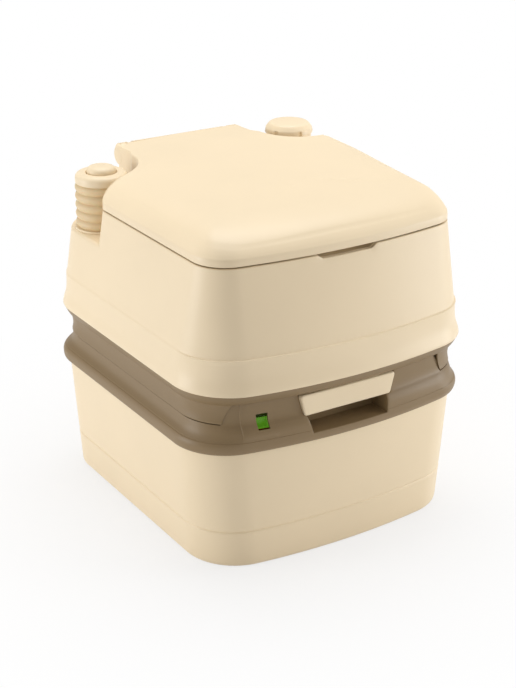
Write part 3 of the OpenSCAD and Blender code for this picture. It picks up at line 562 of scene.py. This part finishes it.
def waist():
    """Tan top of the waste tank: one sheet of rows and columns that run up the lip and the waist, up and over
    the front hood, and in over the deck to the waste hole. The recesses are steps in depth along it."""
    s, v = arc_steps(4)
    # Height, rounding depth, 1 in the finger recess or 2 behind the handle, 1 in the spout's recess
    rows = [(z, 0, 0, 0) for z in (151, 151.5, 152, 153, 154.2, 155.5, 157, 158.5, 160.2)]
    rows += [(162 + a, b, 0, 0) for a, b in zip(s, v)]
    rows += [(163, 1, 1, 0), (164.5, 1, 1, 0), (166, 1, 1, 0), (166, 1, 1, 1)]
    rows += [(z, 1, 1, 1) for z in (166.4, 166.8, 167.4, 167.8, 169, 171, 172.8, 174.5, 176, 177.5, 179, 181,
                                    182.5, 183.7)]
    rows += [(z, 1, 2, 1) for z in (183.7, 184.8, 186, 187, 188.3, 189.7, 193.3, 196.5, 200, 205, 210.3)]
    rows += [(210.3 + a, b, 0, 1) for a, b in zip(1 - s[::-1], v[::-1])]
    rows += [(211.4, 0, 0, 1)]
    z, deep, front_in, rear_in = np.array(rows, float).T
    low = np.minimum(z, SPLIT_Z)

    def knots(z):
        """X of the columns' knots, from the left: the sheet's end, the hood's flank, the window's facet, the
        rounded edge of the handle's recess, its slot, its other edge, the other flank, the other end."""
        flare = np.clip(z - APRON_Z, 0, 40)
        left, right = -158 + flare * 0.38, 139 - flare * 0.6
        edge_left = np.interp(z, [163, 166, 183.8, 184.6, 210.3], [-55, -56, -61.5, -64.3, -70.8])
        edge_right = np.interp(z, [163, 183.8, 184.6, 210.3], [47, 48, 54.3, 60.8])
        k = [-FRONT_LEFT, left, left, left + 1.2, -140, -139.6, -122, -108.2, -101.4, -101]
        k += [edge_left - 1 + a for a in s] + [edge_left, -26, 26, edge_right]
        k += [edge_right + 1 - a for a in s[::-1]] + [right - 1.2, right, right, FRONT_RIGHT]
        return np.stack([x + 0 * z for x in k], -1)

    counts = [5, 1, 1, 7, 1, 10, 8, 2, 1, 12, 1, 1, 1, 1, 10, 14, 10, 1, 1, 1, 1, 26, 1, 1, 8]
    at = at_knot(counts)
    column = np.arange(at[-1] + 1)
    up = (column >= at[2]) & (column <= at[-3])
    x_high, x_low = spread(knots(z), counts), spread(knots(low), counts)
    round_x = np.zeros(len(column))
    round_x[at[10]:at[13] + 1] = v
    round_x[at[18]:at[21] + 1] = v[::-1]
    open_x = (column >= at[14]) & (column <= at[17])
    round_x[open_x] = 1
    plans, low_plans = band_plan(z), band_plan(low)
    # A flat facet for the window stands 0.8 mm proud of the panel, above the lip
    proud = 0.8 * smooth(z, 170, 172)[:, None] * ((column >= at[5]) & (column <= at[8]))
    y_high = front_y(plans, x_high) + np.minimum(deep[:, None], round_x) - proud
    finger_y, handle_y = -178.0, -189.7
    inside = (front_in[:, None] > 0) & open_x
    y_high = np.where(inside, np.where(front_in > 1, handle_y, finger_y)[:, None], y_high)
    y_low = np.where(z[:, None] <= SPLIT_Z, y_high, front_y(low_plans, x_low))
    front = np.stack([np.where(up, x_high, x_low), np.where(up, y_high, y_low),
                      np.where(up, z[:, None], low[:, None])], -1)
    sides, at_rear = around(low_plans, (REAR_X, 110, 110, -50, -50, -REAR_X), (4, 1, 40, 1, 12))
    recess = np.zeros(sides.shape[1], bool)
    recess[at_rear[2]:at_rear[3] + 1] = True
    sides[..., 1] = np.where(recess & (rear_in[:, None] > 0), RECESS_Y, sides[..., 1])
    grid = np.concatenate([front, lift(sides, low)], 1)
    # Over the hood's rounded top edge, back along its top, down to the deck and in to the waste hole
    top = grid[-1]
    is_front = np.arange(len(top)) < len(up)
    is_up = np.concatenate([up, np.zeros(len(top) - len(up), bool)])
    hood_rear = -181 + 15 * smooth(np.abs(top[:, 0]), 95, 125)
    more = []
    for h, d in zip(211.5 + s, v):
        ring = top.copy()
        ring[:, 1] += np.where(is_front, d, 0)
        ring[:, 2] = np.where(is_up, h, SPLIT_Z)
        more.append(ring)
    start = more[-1]
    back = np.where(is_front, np.maximum(hood_rear, start[:, 1]), start[:, 1])
    for t in (0.25, 0.5, 0.75, 0.95, 1.0):
        ring = start.copy()
        ring[:, 1] = mix(start[:, 1], back, t)
        more.append(ring)
    more[-1][:, 2] -= np.where(is_up, 1.0, 0)
    more.append(lift(more[-1][:, :2], SPLIT_Z))
    # Beside the rear recess the deck first runs straight in, so that it keeps clear of the spout's cap
    inner = np.column_stack([more[-1][:, 0], np.minimum(more[-1][:, 1], RECESS_Y)])
    hole_r = 52
    hole = inner / np.linalg.norm(inner, axis=1)[:, None] * hole_r
    more += [lift(mix(inner, hole, t), SPLIT_Z) for t in (0.02, 0.2, 0.4, 0.6, 0.8, 0.97, 1.0)]
    grid = np.concatenate([grid, np.array(more)])
    window = (nearest(z, 179), nearest(z, 196.5), at[6], at[7])
    slot = (nearest(z, 189.7), nearest(z, 193.3), at[15], at[16])
    piece("waist_shell", [(grid, True, (window, slot))], "tank", "tan_plastic",
          ("tank_top", "handle_tray", "spout_tray", "mouth_ring"), size("wall"), 38)


def apron_inset(z):
    """How far the tan frame stands in from the skirt: aprons below, a strip that flares above."""
    levels = [186.9, 187.2, 187.8, 190, 193, 198, 204, 208, 211.6, 212.8, 215, 217.5, 220, 222.3, 224.3]
    return curve(z, levels, [11.4, 10.3, 9.9, 10.3, 10.8, 11.2, 10.6, 9.7, 8.6, 7.2, 5.5, 4.0, 2.6, 1.5, 0.8])


def frame_shell():
    """Tan underside of the flush tank: a flared strip all round, aprons on the sides and the rear that leave
    gaps for the hood, the spout and the latch, and a plate."""
    z = np.array([186.9, 187.0, 187.2, 187.4, 187.8, 188.6, 190, 193, 196, 199, 202, 205, 208, 210, 211.6,
                  212.8, 214, 215, 216.2, 217.5, 219, 220, 221, 222.3, 223.5, 224.3])
    p = inset(np.broadcast_to(SKIRT, (len(z), 6)), apron_inset(z))
    w = np.clip(z - APRON_Z, 0, STRIP_Z - APRON_Z)
    knots = np.stack([-FRONT_LEFT + 0 * z, -158.2 + w * 0.38, 139.0 - w * 0.33, FRONT_RIGHT + 0 * z], -1)
    counts = [6, 90, 8]
    x = spread(knots, counts)
    front = lift(np.stack([x, front_y(p, x)], -1), z)
    sides, at_rear = around(p, (REAR_X, 111, -62, -100, -REAR_X), (5, 44, 10, 6))
    grid = np.concatenate([front, lift(sides, z)], 1)
    tuck = grid[-1] * [0.975, 0.975, 1] + [0, 0, 0.15]
    grid = np.concatenate([grid, tuck[None]])
    low, at, rear = nearest(z, STRIP_Z), at_knot(counts), front.shape[1] + at_rear
    gaps = ((0, low, at[1], at[2]), (0, low, rear[1], rear[3]))
    ring = plain_ring(inset(SKIRT, 8.5))
    hole_r = 46
    hole = ring / np.linalg.norm(ring, axis=1)[:, None] * hole_r
    plate = np.stack([lift(mix(ring, hole, t), 216.0) for t in (0, 0.3, 0.6, 1)])
    piece("frame_shell", [(grid, True, gaps), (plate, True, ())], "flush_tank", "tan_plastic",
          ("base_frame",), 2.6, 38)


def pocket_weight():
    """1 on the columns round the rear corner's pocket, 0 on the others, for the whole ring."""
    n = REAR_COUNTS
    half = np.zeros(SIDE_END + sum(n))
    half[SIDE_END:SIDE_END + n[0]] = np.linspace(0, 1, n[0])
    half[SIDE_END + n[0]:SIDE_END + sum(n[:4]) + 1] = 1
    half[SIDE_END + sum(n[:4]):SIDE_END + sum(n[:5])] = np.linspace(1, 0, n[4])
    return np.concatenate([half, half[::-1][1:-1]])


def housing():
    """Flush tank: skirt, bead and tapered wall, a deck in each rear corner, the platform under the lid."""
    weight = pocket_weight()[:, None]
    # Inset and height of each row, up the skirt
    skirt = ((3.2, 224.55), (0.9, 224.5), (0.28, 224.65), (0, 225.2), (0.12, 226.4), (0.42, 228),
             (1.1, 230.5), (2.1, 233.5), (3.3, 237), (4.3, 241), (5.0, 246), (5.35, 252), (5.5, 259))
    rows = [lift(plain_ring(inset(SKIRT, d)), z) for d, z in skirt]
    # Inset at the sides and the rear, inset at the front, and height, over the bead
    bead = ((5.6, 5.3, 262.5), (5.7, 4.95, 264.1), (5.8, 5.05, 264.8), (6.0, 5.9, 265.4), (6.3, 6.8, 265.8),
            (6.9, 7.1, 267.5))
    for a, b, z in bead:
        soft, hard = plain_ring(inset(SKIRT, a)), plain_ring(inset(SKIRT, b))
        rows.append(lift(mix(soft, hard, smooth(-soft[:, 1:], 118, 150)), z))

    def wall(z):
        """Outline of the tapered wall at a height."""
        return mix(BEAD, SEAM, (z - BEAD_Z) / (SEAM_Z - BEAD_Z))

    rows += [lift(plain_ring(wall(z)), z) for z in (275, 285, 295, 305, 313)]
    s, v = arc_steps(6)
    edge_r, foot_r, rim_r = 4, 3, 1.2
    for a, b in zip(s, v):
        z = DECK_Z - edge_r + edge_r * a
        outer, inner = plain_ring(wall(z)), plain_ring(inset(wall(z), edge_r * b))
        rows.append(lift(mix(outer, inner, weight), z))
    edge = rows[-1][:, :2]
    foot = pocket_ring(wall(DECK_Z), -foot_r)
    rows += [lift(mix(edge, foot, t), DECK_Z) for t in (0.15, 0.35, 0.6, 0.85, 1.0)]
    for a, b in zip(s[1:], v[1:]):
        z = DECK_Z + foot_r * b
        rows.append(lift(pocket_ring(wall(z), -foot_r * (1 - a)), z))
    rows += [lift(pocket_ring(wall(z)), z) for z in (332, 340, 348, 355, 359, 361, 363)]
    for a, b in zip(s, v):
        z = SEAM_Z - rim_r + rim_r * a
        rows.append(lift(pocket_ring(inset(wall(z), rim_r * b), rim_r * b), z))
    ring = rows[-1][:, :2]
    # The opening over the bowl is an oval
    oval_y, oval_rx, oval_ry = -35, 104.3, 131.3
    away = ring - [0, oval_y]
    hole = away / np.sqrt((away[:, :1] / oval_rx) ** 2 + (away[:, 1:] / oval_ry) ** 2) + [0, oval_y]
    # A shallow channel behind the rim keeps the seam under the lid dark
    for t, dip in ((0.012, 0), (0.03, 2.6), (0.13, 2.6), (0.16, 0), (0.4, 0), (0.7, 0), (0.97, 0), (1.0, 0)):
        rows.append(lift(mix(ring, hole, t), SEAM_Z - dip))
    rows.append(rows[-1] - [0, 0, 3])
    grid = np.array(rows)
    # A shallow finger notch dips the front of the top edge
    front = smooth(-grid[..., 1], 165, 172) * (1 - smooth(np.abs(grid[..., 0]), 33, 40))
    grid[..., 2] -= 4.5 * front * smooth(grid[..., 2], 352, 365.5)
    piece("housing_shell", [(grid, True, ())], "flush_tank", "cream_plastic",
          ("upper_housing", "seat_platform"), size("wall"), 40)
    neck = rounded([(22, 318, 0), (22, 408, 0.8), (26, 408, 0.8), (26, 326.5, 2.5), (30, 324.05, 2.5),
                    (32, 324.0, 0)], 4)
    piece("filler_neck_skin", [(turned(neck[::-1], FILLER), True, ())], "flush_tank", "cream_plastic",
          ("filler_neck",))
    ears = []
    ear_x, ear_r, foot_z = 70.0, 12, 364.0
    # Distance from the ear's middle plane, and size of its outline there, across its rounded rim
    layers = ((-3.5, 0), (-3.5, 0.93), (-3.2, 0.98), (-2.6, 1), (2.6, 1), (3.2, 0.98), (3.5, 0.93), (3.5, 0))
    a = np.radians(np.linspace(-20, 200, 24))
    arch = np.column_stack([ROLL_Y + ear_r * np.cos(a), ROLL_Z + ear_r * np.sin(a)])
    outline = np.concatenate([[[ROLL_Y - 18, foot_z]], arch, [[ROLL_Y - 34, foot_z]]])
    for side in (1, -1):
        ear = [np.insert(mix(outline.mean(0), outline, k), 0, ear_x * side + x, axis=1) for x, k in layers]
        ears.append((np.array(ear)[::-1], True, ()))
    piece("hinge_ears", ears, "flush_tank", "cream_plastic")


# Heights over the seam, and how far the lid's outline stands in at each: on the right flank near the front,
# before its factor of 1.3, on the right flank at the rear, on the lower left flank, and at the front
LID_UP = [0.0, 1.6, 8, 10.5, 12.5, 15, 19, 24, 29, 32, 34, 36, 38, 39.8, 41.3, 42.5, 43.0]
LID_SIDE = [0.0, 0.0, 0.15, 0.45, 1.2, 2.3, 4.1, 6.3, 8.5, 10.2, 12.4, 16.5, 23, 33, 48, 74, 168]
LID_RIGHT = [0.0, 0.0, 0.05, 0.1, 0.3, 0.6, 1.1, 1.8, 2.7, 3.4, 4.1, 5.2, 7.2, 11, 19, 46, 168]
LID_LEFT = [0.0, 0.0, 0.3, 1.0, 2.6, 4.8, 8.6, 13, 19, 25, 31, 40, 52, 68, 88, 118, 168]
LID_FRONT = [0.0, 0.0, 0.3, 1.0, 2.6, 4.8, 9, 15, 24, 32, 40, 51, 68, 90, 118, 155, 330]
# Least height of the lid's upper edge over the seam
LID_LEAST = 2.5


def lid_height(x, y):
    """Height of the lid over the seam at (x, y): the level whose outline passes through it, found by halving.
    The outline's insets blend from the left flank to the right one, and there from front to rear. Towards the
    rear the height is raised by up to 5%, most of all on the right."""
    low, high = np.zeros_like(x), np.full_like(x, CREST)
    back = smooth(y, -170, 60)
    right = smooth(x, -90, 90)
    for _ in range(26):
        h = (low + high) / 2
        far = mix(curve(h, LID_UP, LID_SIDE) * 1.3, curve(h, LID_UP, LID_RIGHT), back)
        side = mix(curve(h, LID_UP, LID_LEFT), far, right)
        front = curve(h, LID_UP, LID_FRONT)
        p = np.stack([SEAM[0] - side, front + SEAM[1], np.maximum(18 - front / 10, 4),
                      np.maximum(42 - side, 12), 193 + 0 * h, 4 + 0 * h], -1)
        # The rear of these outlines lies behind the lid, so only the flanks and the front set the level
        p[..., 0] = np.maximum(p[..., 0], 13)
        edge = front_y(p, np.minimum(np.abs(x), p[..., 0])[..., None])[..., 0]
        within = (np.abs(x) <= SEAM[0] - side) & (y >= edge)
        low, high = np.where(within, h, low), np.where(within, high, h)
    middle = (low + high) / 2
    raised = smooth(y, -120, 40) * (1 - smooth(y, 120, 178)) * (0.3 + 0.7 * smooth(x, -90, 60))
    return middle * (1 + 0.05 * raised)


def lid_ring(d):
    """The lid's pocketed outline, moved in by d, and 5.4% narrower beside the roll."""
    p = SEAM.copy()
    # Its rear edge lies under the roll, and has small corners
    p[4:] = 191.5, 2.5
    ring = pocket_ring(inset(p, d), d)
    return ring * np.column_stack([1 - 0.054 * smooth(ring[:, 1], 142, 158), np.ones(len(ring))])


def lid_shell():
    """Lid: a wall from the seam up, a rounded edge, and a crown whose height comes from lid_height. The
    crown's rows run in from the edge to a spine, a line along the lid's middle."""
    ring = lid_ring(0)
    weight = pocket_weight()
    spine_y, spine_half = 25, 95
    turn = np.arctan2(ring[:, 0], spine_y - ring[:, 1])
    spine = np.column_stack([0 * turn, spine_y - spine_half * np.cos(turn)])
    reach = np.linalg.norm(spine - ring, axis=1)[:, None]
    way = (spine - ring) / reach
    r = size("lid_edge") * weight[:, None]
    in_edge = ring + way * r
    top = SEAM_Z + np.maximum(lid_height(*in_edge.T), LID_LEAST)[:, None]
    rows = [lift(lid_ring(d), SEAM_Z + up) for d, up in ((3.0, 1.7), (0.4, 1.8), (0.05, 2.1))]
    for t in (0, 0.25, 0.5, 0.75, 1):
        rows.append(np.column_stack([ring, mix(SEAM_Z + 2.4, np.maximum(top - r, SEAM_Z + 2.45), t)]))
    walls = len(rows)
    s, v = arc_steps(5)
    for a, b in zip(s[1:], v[1:]):
        rows.append(np.column_stack([ring + way * r * b, top - r * (1 - a)]))
    for d in (0.06, 0.12, 0.25, 0.4, 0.7, 1.1, 1.7, 2.4, 3.2, 4.2, 5.4, 6.8, 8.4, 10.4, 13):
        xy = ring + way * (r + d)
        rows.append(np.column_stack([xy, SEAM_Z + np.maximum(lid_height(*xy.T), LID_LEAST)]))
    for t in np.linspace(0, 1, 36)[1:] ** 1.25:
        xy = ring + way * mix(r + 13, reach, t)
        rows.append(np.column_stack([xy, SEAM_Z + lid_height(*xy.T)]))
    grid = np.array(rows)
    # A light smoothing of the crown takes out the kinks where the curves of its front and sides meet
    z, k = grid[..., 2], walls + 12
    for _ in range(10):
        z[k:-1] = (z[k - 1:-2] + 2 * z[k:-1] + z[k + 1:]) / 4
        z[k:] = (np.roll(z[k:], 1, 1) + 2 * z[k:] + np.roll(z[k:], -1, 1)) / 4
    # The edge is open where the roll takes over
    n = SIDE_END + sum(REAR_COUNTS[:5])
    rear = (0, walls + 3, n, n + 2 * REAR_COUNTS[5] - 2)
    piece("lid_shell", [(grid, True, (rear,))], "lid", "cream_plastic", ("lid",), size("wall"), 50)
    # The roll is an arc carried along the hinge, in three lengths with a gap at each ear
    rolls = []
    a = np.radians(np.linspace(92, -24, 30))
    yz = np.column_stack([ROLL_Y + ROLL_R * np.cos(a), ROLL_Z + ROLL_R * np.sin(a)])
    for x0, x1 in ((-65.5, 65.5), (74.5, 85), (-85, -74.5)):
        roll = [np.insert(yz, 0, x, axis=1) for x in (x0, x0 + 0.3, x1 - 0.3, x1)]
        rolls.append((np.array(roll)[::-1], False, ()))
    piece("lid_roll", rolls, "lid", "cream_plastic", wall=size("wall"), angle=40)
    # Rounded discs close the roll's ends, and a knuckle beside each ear turns on the pin
    ends = []
    disc = rounded([(78, 0, 0), (78, ROLL_R - 0.12, 0.1), (88.5, ROLL_R - 0.12, 6.5), (88.5, 0, 0)], 8)
    knuckle = np.array([[56, 0], [56, 6], [64, 6], [64, 0]], float)
    a = np.linspace(0, 2 * np.pi, 64, endpoint=False)
    for side in (1, -1):
        for profile in (disc, knuckle):
            r = profile[:, 1:]
            x = np.broadcast_to(side * profile[:, :1], (len(profile), len(a)))
            grid = np.stack([x, ROLL_Y + side * r * np.cos(a), ROLL_Z + r * np.sin(a)], -1)
            ends.append((grid, True, ()))
    piece("lid_ends", ends, "lid", "cream_plastic", angle=40)


def pump():
    """Bellows as a round wave turned about the pump's axis, and a plate with a domed button."""
    folds, foot, height = 5, 326.5, 55
    t = np.linspace(0, folds, 161)
    outer = np.column_stack([30.4 + 2.6 * np.abs(np.sin(np.pi * t)) ** 0.9, foot + height / folds * t])
    bellows = piece("bellows_skin", [(turned(outer, PUMP), True, ())], "flush_tank", "bellows_plastic",
                    ("bellows",), 1.2, 60)
    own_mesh(bellows)
    z = 381.8
    plate = rounded([(0, z, 0), (32.4, z, 0.8), (32.4, z + 12, 6.5), (19.6, z + 12, 0.7),
                     (18.6, z + 8.2, 0.4), (0, z + 8.2, 0)])
    piece("pump_plate", [(turned(plate, PUMP), True, ())], "pump_top", "cream_plastic", ("pump_top_plate",))
    button = rounded([(0, z + 8.3, 0), (18, z + 8.3, 0.3), (18, z + 18, 6), (0, z + 21.5, 60)])
    piece("pump_dome", [(turned(button, PUMP), True, ())], "pump_top", "cream_plastic", ("pump_button",))


def filler():
    """Filler cap: a turned cap with a rounded crown and six grip notches, which are dips in its radius. A
    notch is about 10 degrees wide, and the first one's middle stands at -35 degrees."""
    lower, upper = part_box("filler_cap")
    z0, z1 = lower[2] / MM, upper[2] / MM
    path = rounded([(26.4, z0, 0), (29.3, z0, 0.4), (29.3, z0 + 5, 0.3), (31.2, z0 + 6.2, 1),
                    (30.2, z0 + 12, 4), (25, z1 - 1.2, 6), (0, z1, 0)], 8)
    inner = rounded([(0, z0 + 12.2, 0), (26.4, z0 + 12.2, 0.6), (26.4, z0, 0)], 3)
    grid = turned(np.concatenate([inner, path]), FILLER, 288)
    centre = np.array([*FILLER, 0])
    away = grid - centre
    a = np.degrees(np.arctan2(away[..., 1], away[..., 0]))
    off = np.abs((a + 35 + 30) % 60 - 30)
    radius = np.hypot(away[..., 0], away[..., 1])
    dip = 1.8 * (1 - smooth(off, 4.0, 5.2)) * (1 - smooth(away[..., 2], z1 - 10, z1 - 7.5)) * (radius > 28)
    grid[..., :2] = centre[:2] + away[..., :2] * ((radius - dip) / np.maximum(radius, 1e-6))[..., None]
    piece("filler_crown", [(grid, True, ())], "filler_cap", "cream_plastic", ("filler_cap",), angle=40)


def handle():
    """Pull handle: a rounded trapezoid, carried from back to front, whose face edge is a quarter circle."""
    r = size("handle_edge")

    def outline(d):
        """The front view, moved in by d."""
        low_left, low_right, high_right, high_left = [(*corner, 3.0) for corner in (
            (-64 + d, 184 + d), (54 - d, 184 + d), (60.5 - d, 210 - d), (-70.5 + d, 210 - d))]
        start = ((low_left[0] + low_right[0]) / 2, low_left[1], 0)
        return rounded([start, low_right, high_right, high_left, low_left, start], 6)[:-1]

    s, v = arc_steps(7)
    rows = [(0.8, -190.0), (0.1, -190.3), (0, -191)]
    rows += [(r * b, -203 + r * (1 - a)) for a, b in zip(s, v)]
    rings = [np.insert(outline(d), 1, y, axis=1) for d, y in rows]
    middle = np.array([-5.0, 0, 197.0])
    first = middle + (rings[0] - middle) * [0, 1, 0]
    last = middle + (rings[-1] - middle) * [0, 1, 0]
    grid = np.array([first, *rings, mix(rings[-1], last, 0.3), last])
    piece("pull_handle", [(grid, True, ())], "valve", "cream_plastic", ("valve_handle",))


def operator(name, label, text, work):
    """An operator that builds one piece or group, and raises when it can't."""
    def execute(self, context):
        """Does the work."""
        work()
        return {"FINISHED"}
    return type("TOILET_OT_" + name, (bpy.types.Operator,), {
        "__doc__": text, "bl_idname": "toilet." + name, "bl_label": label, "execute": execute})


# CAD nodes that keep their own shape, with moulded edges: node, slot, edge radius in mm
PLAIN = {
    "valve": [("valve_frame", "grey_plastic", 0.5),
              ("valve_seal", "black_rubber", 0.2),
              ("valve_blade", "grey_plastic", 0.4)],
    "window": [("indicator_lens", "clear_plastic", 0.2),
               ("flag_green", "green_plastic", 0.15),
               ("flag_red", "red_plastic", 0.15),
               ("float_arm", "grey_plastic", 0.3),
               ("float", "white_foam", 1.5),
               ("float_pin", "steel", 0.3)],
    "spout": [("pour_spout", "tan_plastic", 0.8),
              ("spout_seal", "black_rubber", 0.3),
              ("spout_cap", "cream_plastic", 0.8),
              ("spout_cap_gasket", "black_rubber", 0.2)],
    "latch": [("latch", "cream_plastic", 1.0),
              ("latch_pin", "steel", 0.2)],
    "bowl": [("bowl", "cream_plastic", 0.6),
             ("outlet_seal", "black_rubber", 0.4),
             ("flush_nozzle", "cream_plastic", 0.6),
             ("flush_hose", "grey_plastic", 0.2)],
    "seat": [("seat", "cream_plastic", 2.0),
             ("seat_bumpers", "black_rubber", 0.5),
             ("hinge_pins", "steel", 0.3)],
    "fittings": [("pump_base", "cream_plastic", 0.5),
                 ("intake_tube", "grey_plastic", 0.2),
                 ("check_valve", "grey_plastic", 0.4),
                 ("filler_seal", "black_rubber", 0.3)],
}


def dress_group(group):
    """Dresses the CAD nodes of one group."""
    for row in PLAIN[group]:
        dressed(*row)


def paints():
    """Every finish of the toilet."""
    colours = bpy.context.scene.toilet_colours
    for slot, (name, roughness, grain, more) in MOULDED.items():
        moulded(name, getattr(colours, slot), roughness, grain, more)
    # Clear and thin: a faint sheen at a slant, and what is behind it shows
    tree = empty_tree(bpy.data.materials.new(MATERIALS["clear_plastic"]))
    slant = add(tree, "Fresnel", {"IOR": 1.12})
    see = add(tree, "BsdfTransparent", {"Color": (*colours.clear_plastic, 1)})
    sheen = add(tree, "BsdfGlossy", {"Color": (1, 1, 1, 1), "Roughness": 0.08})
    both = add(tree, "MixShader", links={0: slant.outputs[0], 1: see.outputs[0], 2: sheen.outputs[0]})
    add(tree, "OutputMaterial", links={"Surface": both.outputs[0]})


def stage():
    """White room: a world that is white to the camera, soft lamps at both sides and above, and a floor for
    the shadow."""
    scene = bpy.context.scene
    world = bpy.data.worlds.new("Studio")
    scene.world = world
    tree = empty_tree(world)
    path = add(tree, "LightPath")
    seen = add(tree, "Math", {"operation": "MAXIMUM"},
               {0: path.outputs["Is Camera Ray"], 1: path.outputs["Is Transmission Ray"]})
    level = add(tree, "MapRange", {"To Min": 0.45, "To Max": 1.0}, {"Value": seen.outputs[0]})
    # White where it is seen, and a little warm as light, which keeps the cream plastic's shadows warm
    tint = add(tree, "Mix", {"data_type": "RGBA"}, {"Factor": seen.outputs[0]})
    tint.inputs[6].default_value = (1, 0.955, 0.9, 1)
    tint.inputs[7].default_value = (1, 1, 1, 1)
    sky = add(tree, "Background", None, {"Color": tint.outputs[2], "Strength": level.outputs["Result"]})
    add(tree, "OutputWorld", links={"Surface": sky.outputs["Background"]})

    def lamp(name, at, width, watts):
        """A square lamp that looks at the middle of the toilet."""
        data = bpy.data.lights.new(name, "AREA")
        data.shape = "SQUARE"
        data.size = width
        data.energy = watts
        obj = linked(name, data)
        obj.location = at
        obj.rotation_euler = (Vector((0, 0, 0.25)) - Vector(at)).to_track_quat("-Z", "Y").to_euler()

    lamp("Left lamp", (-1.8, 0.6, 0.35), 0.9, 14.5)
    lamp("Right lamp", (1.7, -1.0, 0.4), 0.9, 16.5)
    lamp("Top lamp", (0.2, 0.3, 2.0), 1.4, 24)
    mesh = bpy.data.meshes.new("Floor")
    mesh.from_pydata([(-4, -4, 0), (4, -4, 0), (4, 4, 0), (-4, 4, 0)], [], [(0, 1, 2, 3)])
    floor = linked("Floor", mesh)
    # White to the camera and in reflections, mixed near the toilet with a paint that takes its shadow
    mat = bpy.data.materials.new("White floor")
    tree = empty_tree(mat)
    path = add(tree, "LightPath")
    seen = add(tree, "Math", {"operation": "MAXIMUM"},
               {0: path.outputs["Is Camera Ray"], 1: path.outputs["Is Glossy Ray"]})
    seen = add(tree, "Math", {"operation": "MAXIMUM"},
               {0: seen.outputs[0], 1: path.outputs["Is Transmission Ray"]})
    at = add(tree, "TexCoord").outputs["Object"]
    far = add(tree, "VectorMath", {"operation": "LENGTH"}, {0: at})
    fade = add(tree, "MapRange",
               {"interpolation_type": "SMOOTHSTEP", "From Min": 0.2, "From Max": 0.6, "To Min": 0.72,
                "To Max": 1.0}, {"Value": far.outputs["Value"]})
    share = add(tree, "Math", {"operation": "MULTIPLY"}, {0: fade.outputs["Result"], 1: seen.outputs[0]})
    white = add(tree, "Emission", {"Color": (1, 1, 1, 1)})
    paint = add(tree, "BsdfDiffuse", {"Color": (0.9, 0.9, 0.9, 1)})
    both = add(tree, "MixShader", links={0: share.outputs[0], 1: paint.outputs[0], 2: white.outputs[0]})
    add(tree, "OutputMaterial", links={"Surface": both.outputs[0]})
    mesh.materials.append(mat)
    # Lens, place and tilt fitted to the outlines in the photograph
    camera = bpy.data.cameras.new("Camera")
    camera.lens = 80.8
    camera.sensor_width = 36
    camera.clip_start = 0.05
    obj = linked("Camera", camera)
    obj.location = (-0.93763, -1.49533, 0.93744)
    obj.rotation_euler = (QUARTER - 0.40317, 0, -0.56025)
    scene.camera = obj
    scene.view_settings.view_transform = "Standard"


WORK = [
    ("finishes", "Finishes", "Make the plastics, the rubber, the window and the steel", paints),
    ("tub", "Waste tank", "Build the cream tub of the waste tank", tub),
    ("waist", "Waist", "Build the tan top of the waste tank with its hood and recesses", waist),
    ("frame_shell", "Frame", "Build the tan underside of the flush tank", frame_shell),
    ("housing", "Flush tank", "Build the cream housing, the filler neck and the hinge ears", housing),
    ("lid", "Lid", "Build the lid and its hinge roll", lid_shell),
    ("pump", "Pump", "Build the bellows, the plate and the button", pump),
    ("filler", "Filler cap", "Build the filler cap", filler),
    ("handle", "Handle", "Build the pull handle", handle),
]
WORK += [(group, group.capitalize(), f"Give moulded edges to the {group} parts",
          lambda g=group: dress_group(g)) for group in PLAIN]
WORK.append(("stage", "Stage", "Set up the white room, the lamps and the camera", stage))

OPERATORS = [operator(*row) for row in WORK]


class TOILET_PT_build(bpy.types.Panel):
    """Sizes, colours and every piece, in order."""
    bl_idname = "TOILET_PT_build"
    bl_label = "Portable Toilet"
    bl_space_type = "VIEW_3D"
    bl_region_type = "UI"
    bl_category = "Toilet"

    def draw(self, context):
        """Lists the properties and the operators."""
        layout = self.layout
        for group in (context.scene.toilet_sizes, context.scene.toilet_colours):
            for key in group.__annotations__:
                layout.prop(group, key)
        for kind in OPERATORS:
            layout.operator(kind.bl_idname)


CLASSES = [ToiletSizes, ToiletColours, *OPERATORS, TOILET_PT_build]


def register():
    """Adds the classes and the two groups of properties."""
    for kind in CLASSES:
        bpy.utils.register_class(kind)
    bpy.types.Scene.toilet_sizes = PointerProperty(type=ToiletSizes)
    bpy.types.Scene.toilet_colours = PointerProperty(type=ToiletColours)


def unregister():
    """Takes them away again."""
    del bpy.types.Scene.toilet_colours
    del bpy.types.Scene.toilet_sizes
    for kind in reversed(CLASSES):
        bpy.utils.unregister_class(kind)


def main():
    """Builds everything in order, and writes the size of the solids and of the dressed model."""
    register()
    for name, *_ in WORK:
        getattr(bpy.ops.toilet, name)()


if __name__ == "__main__":
    main()
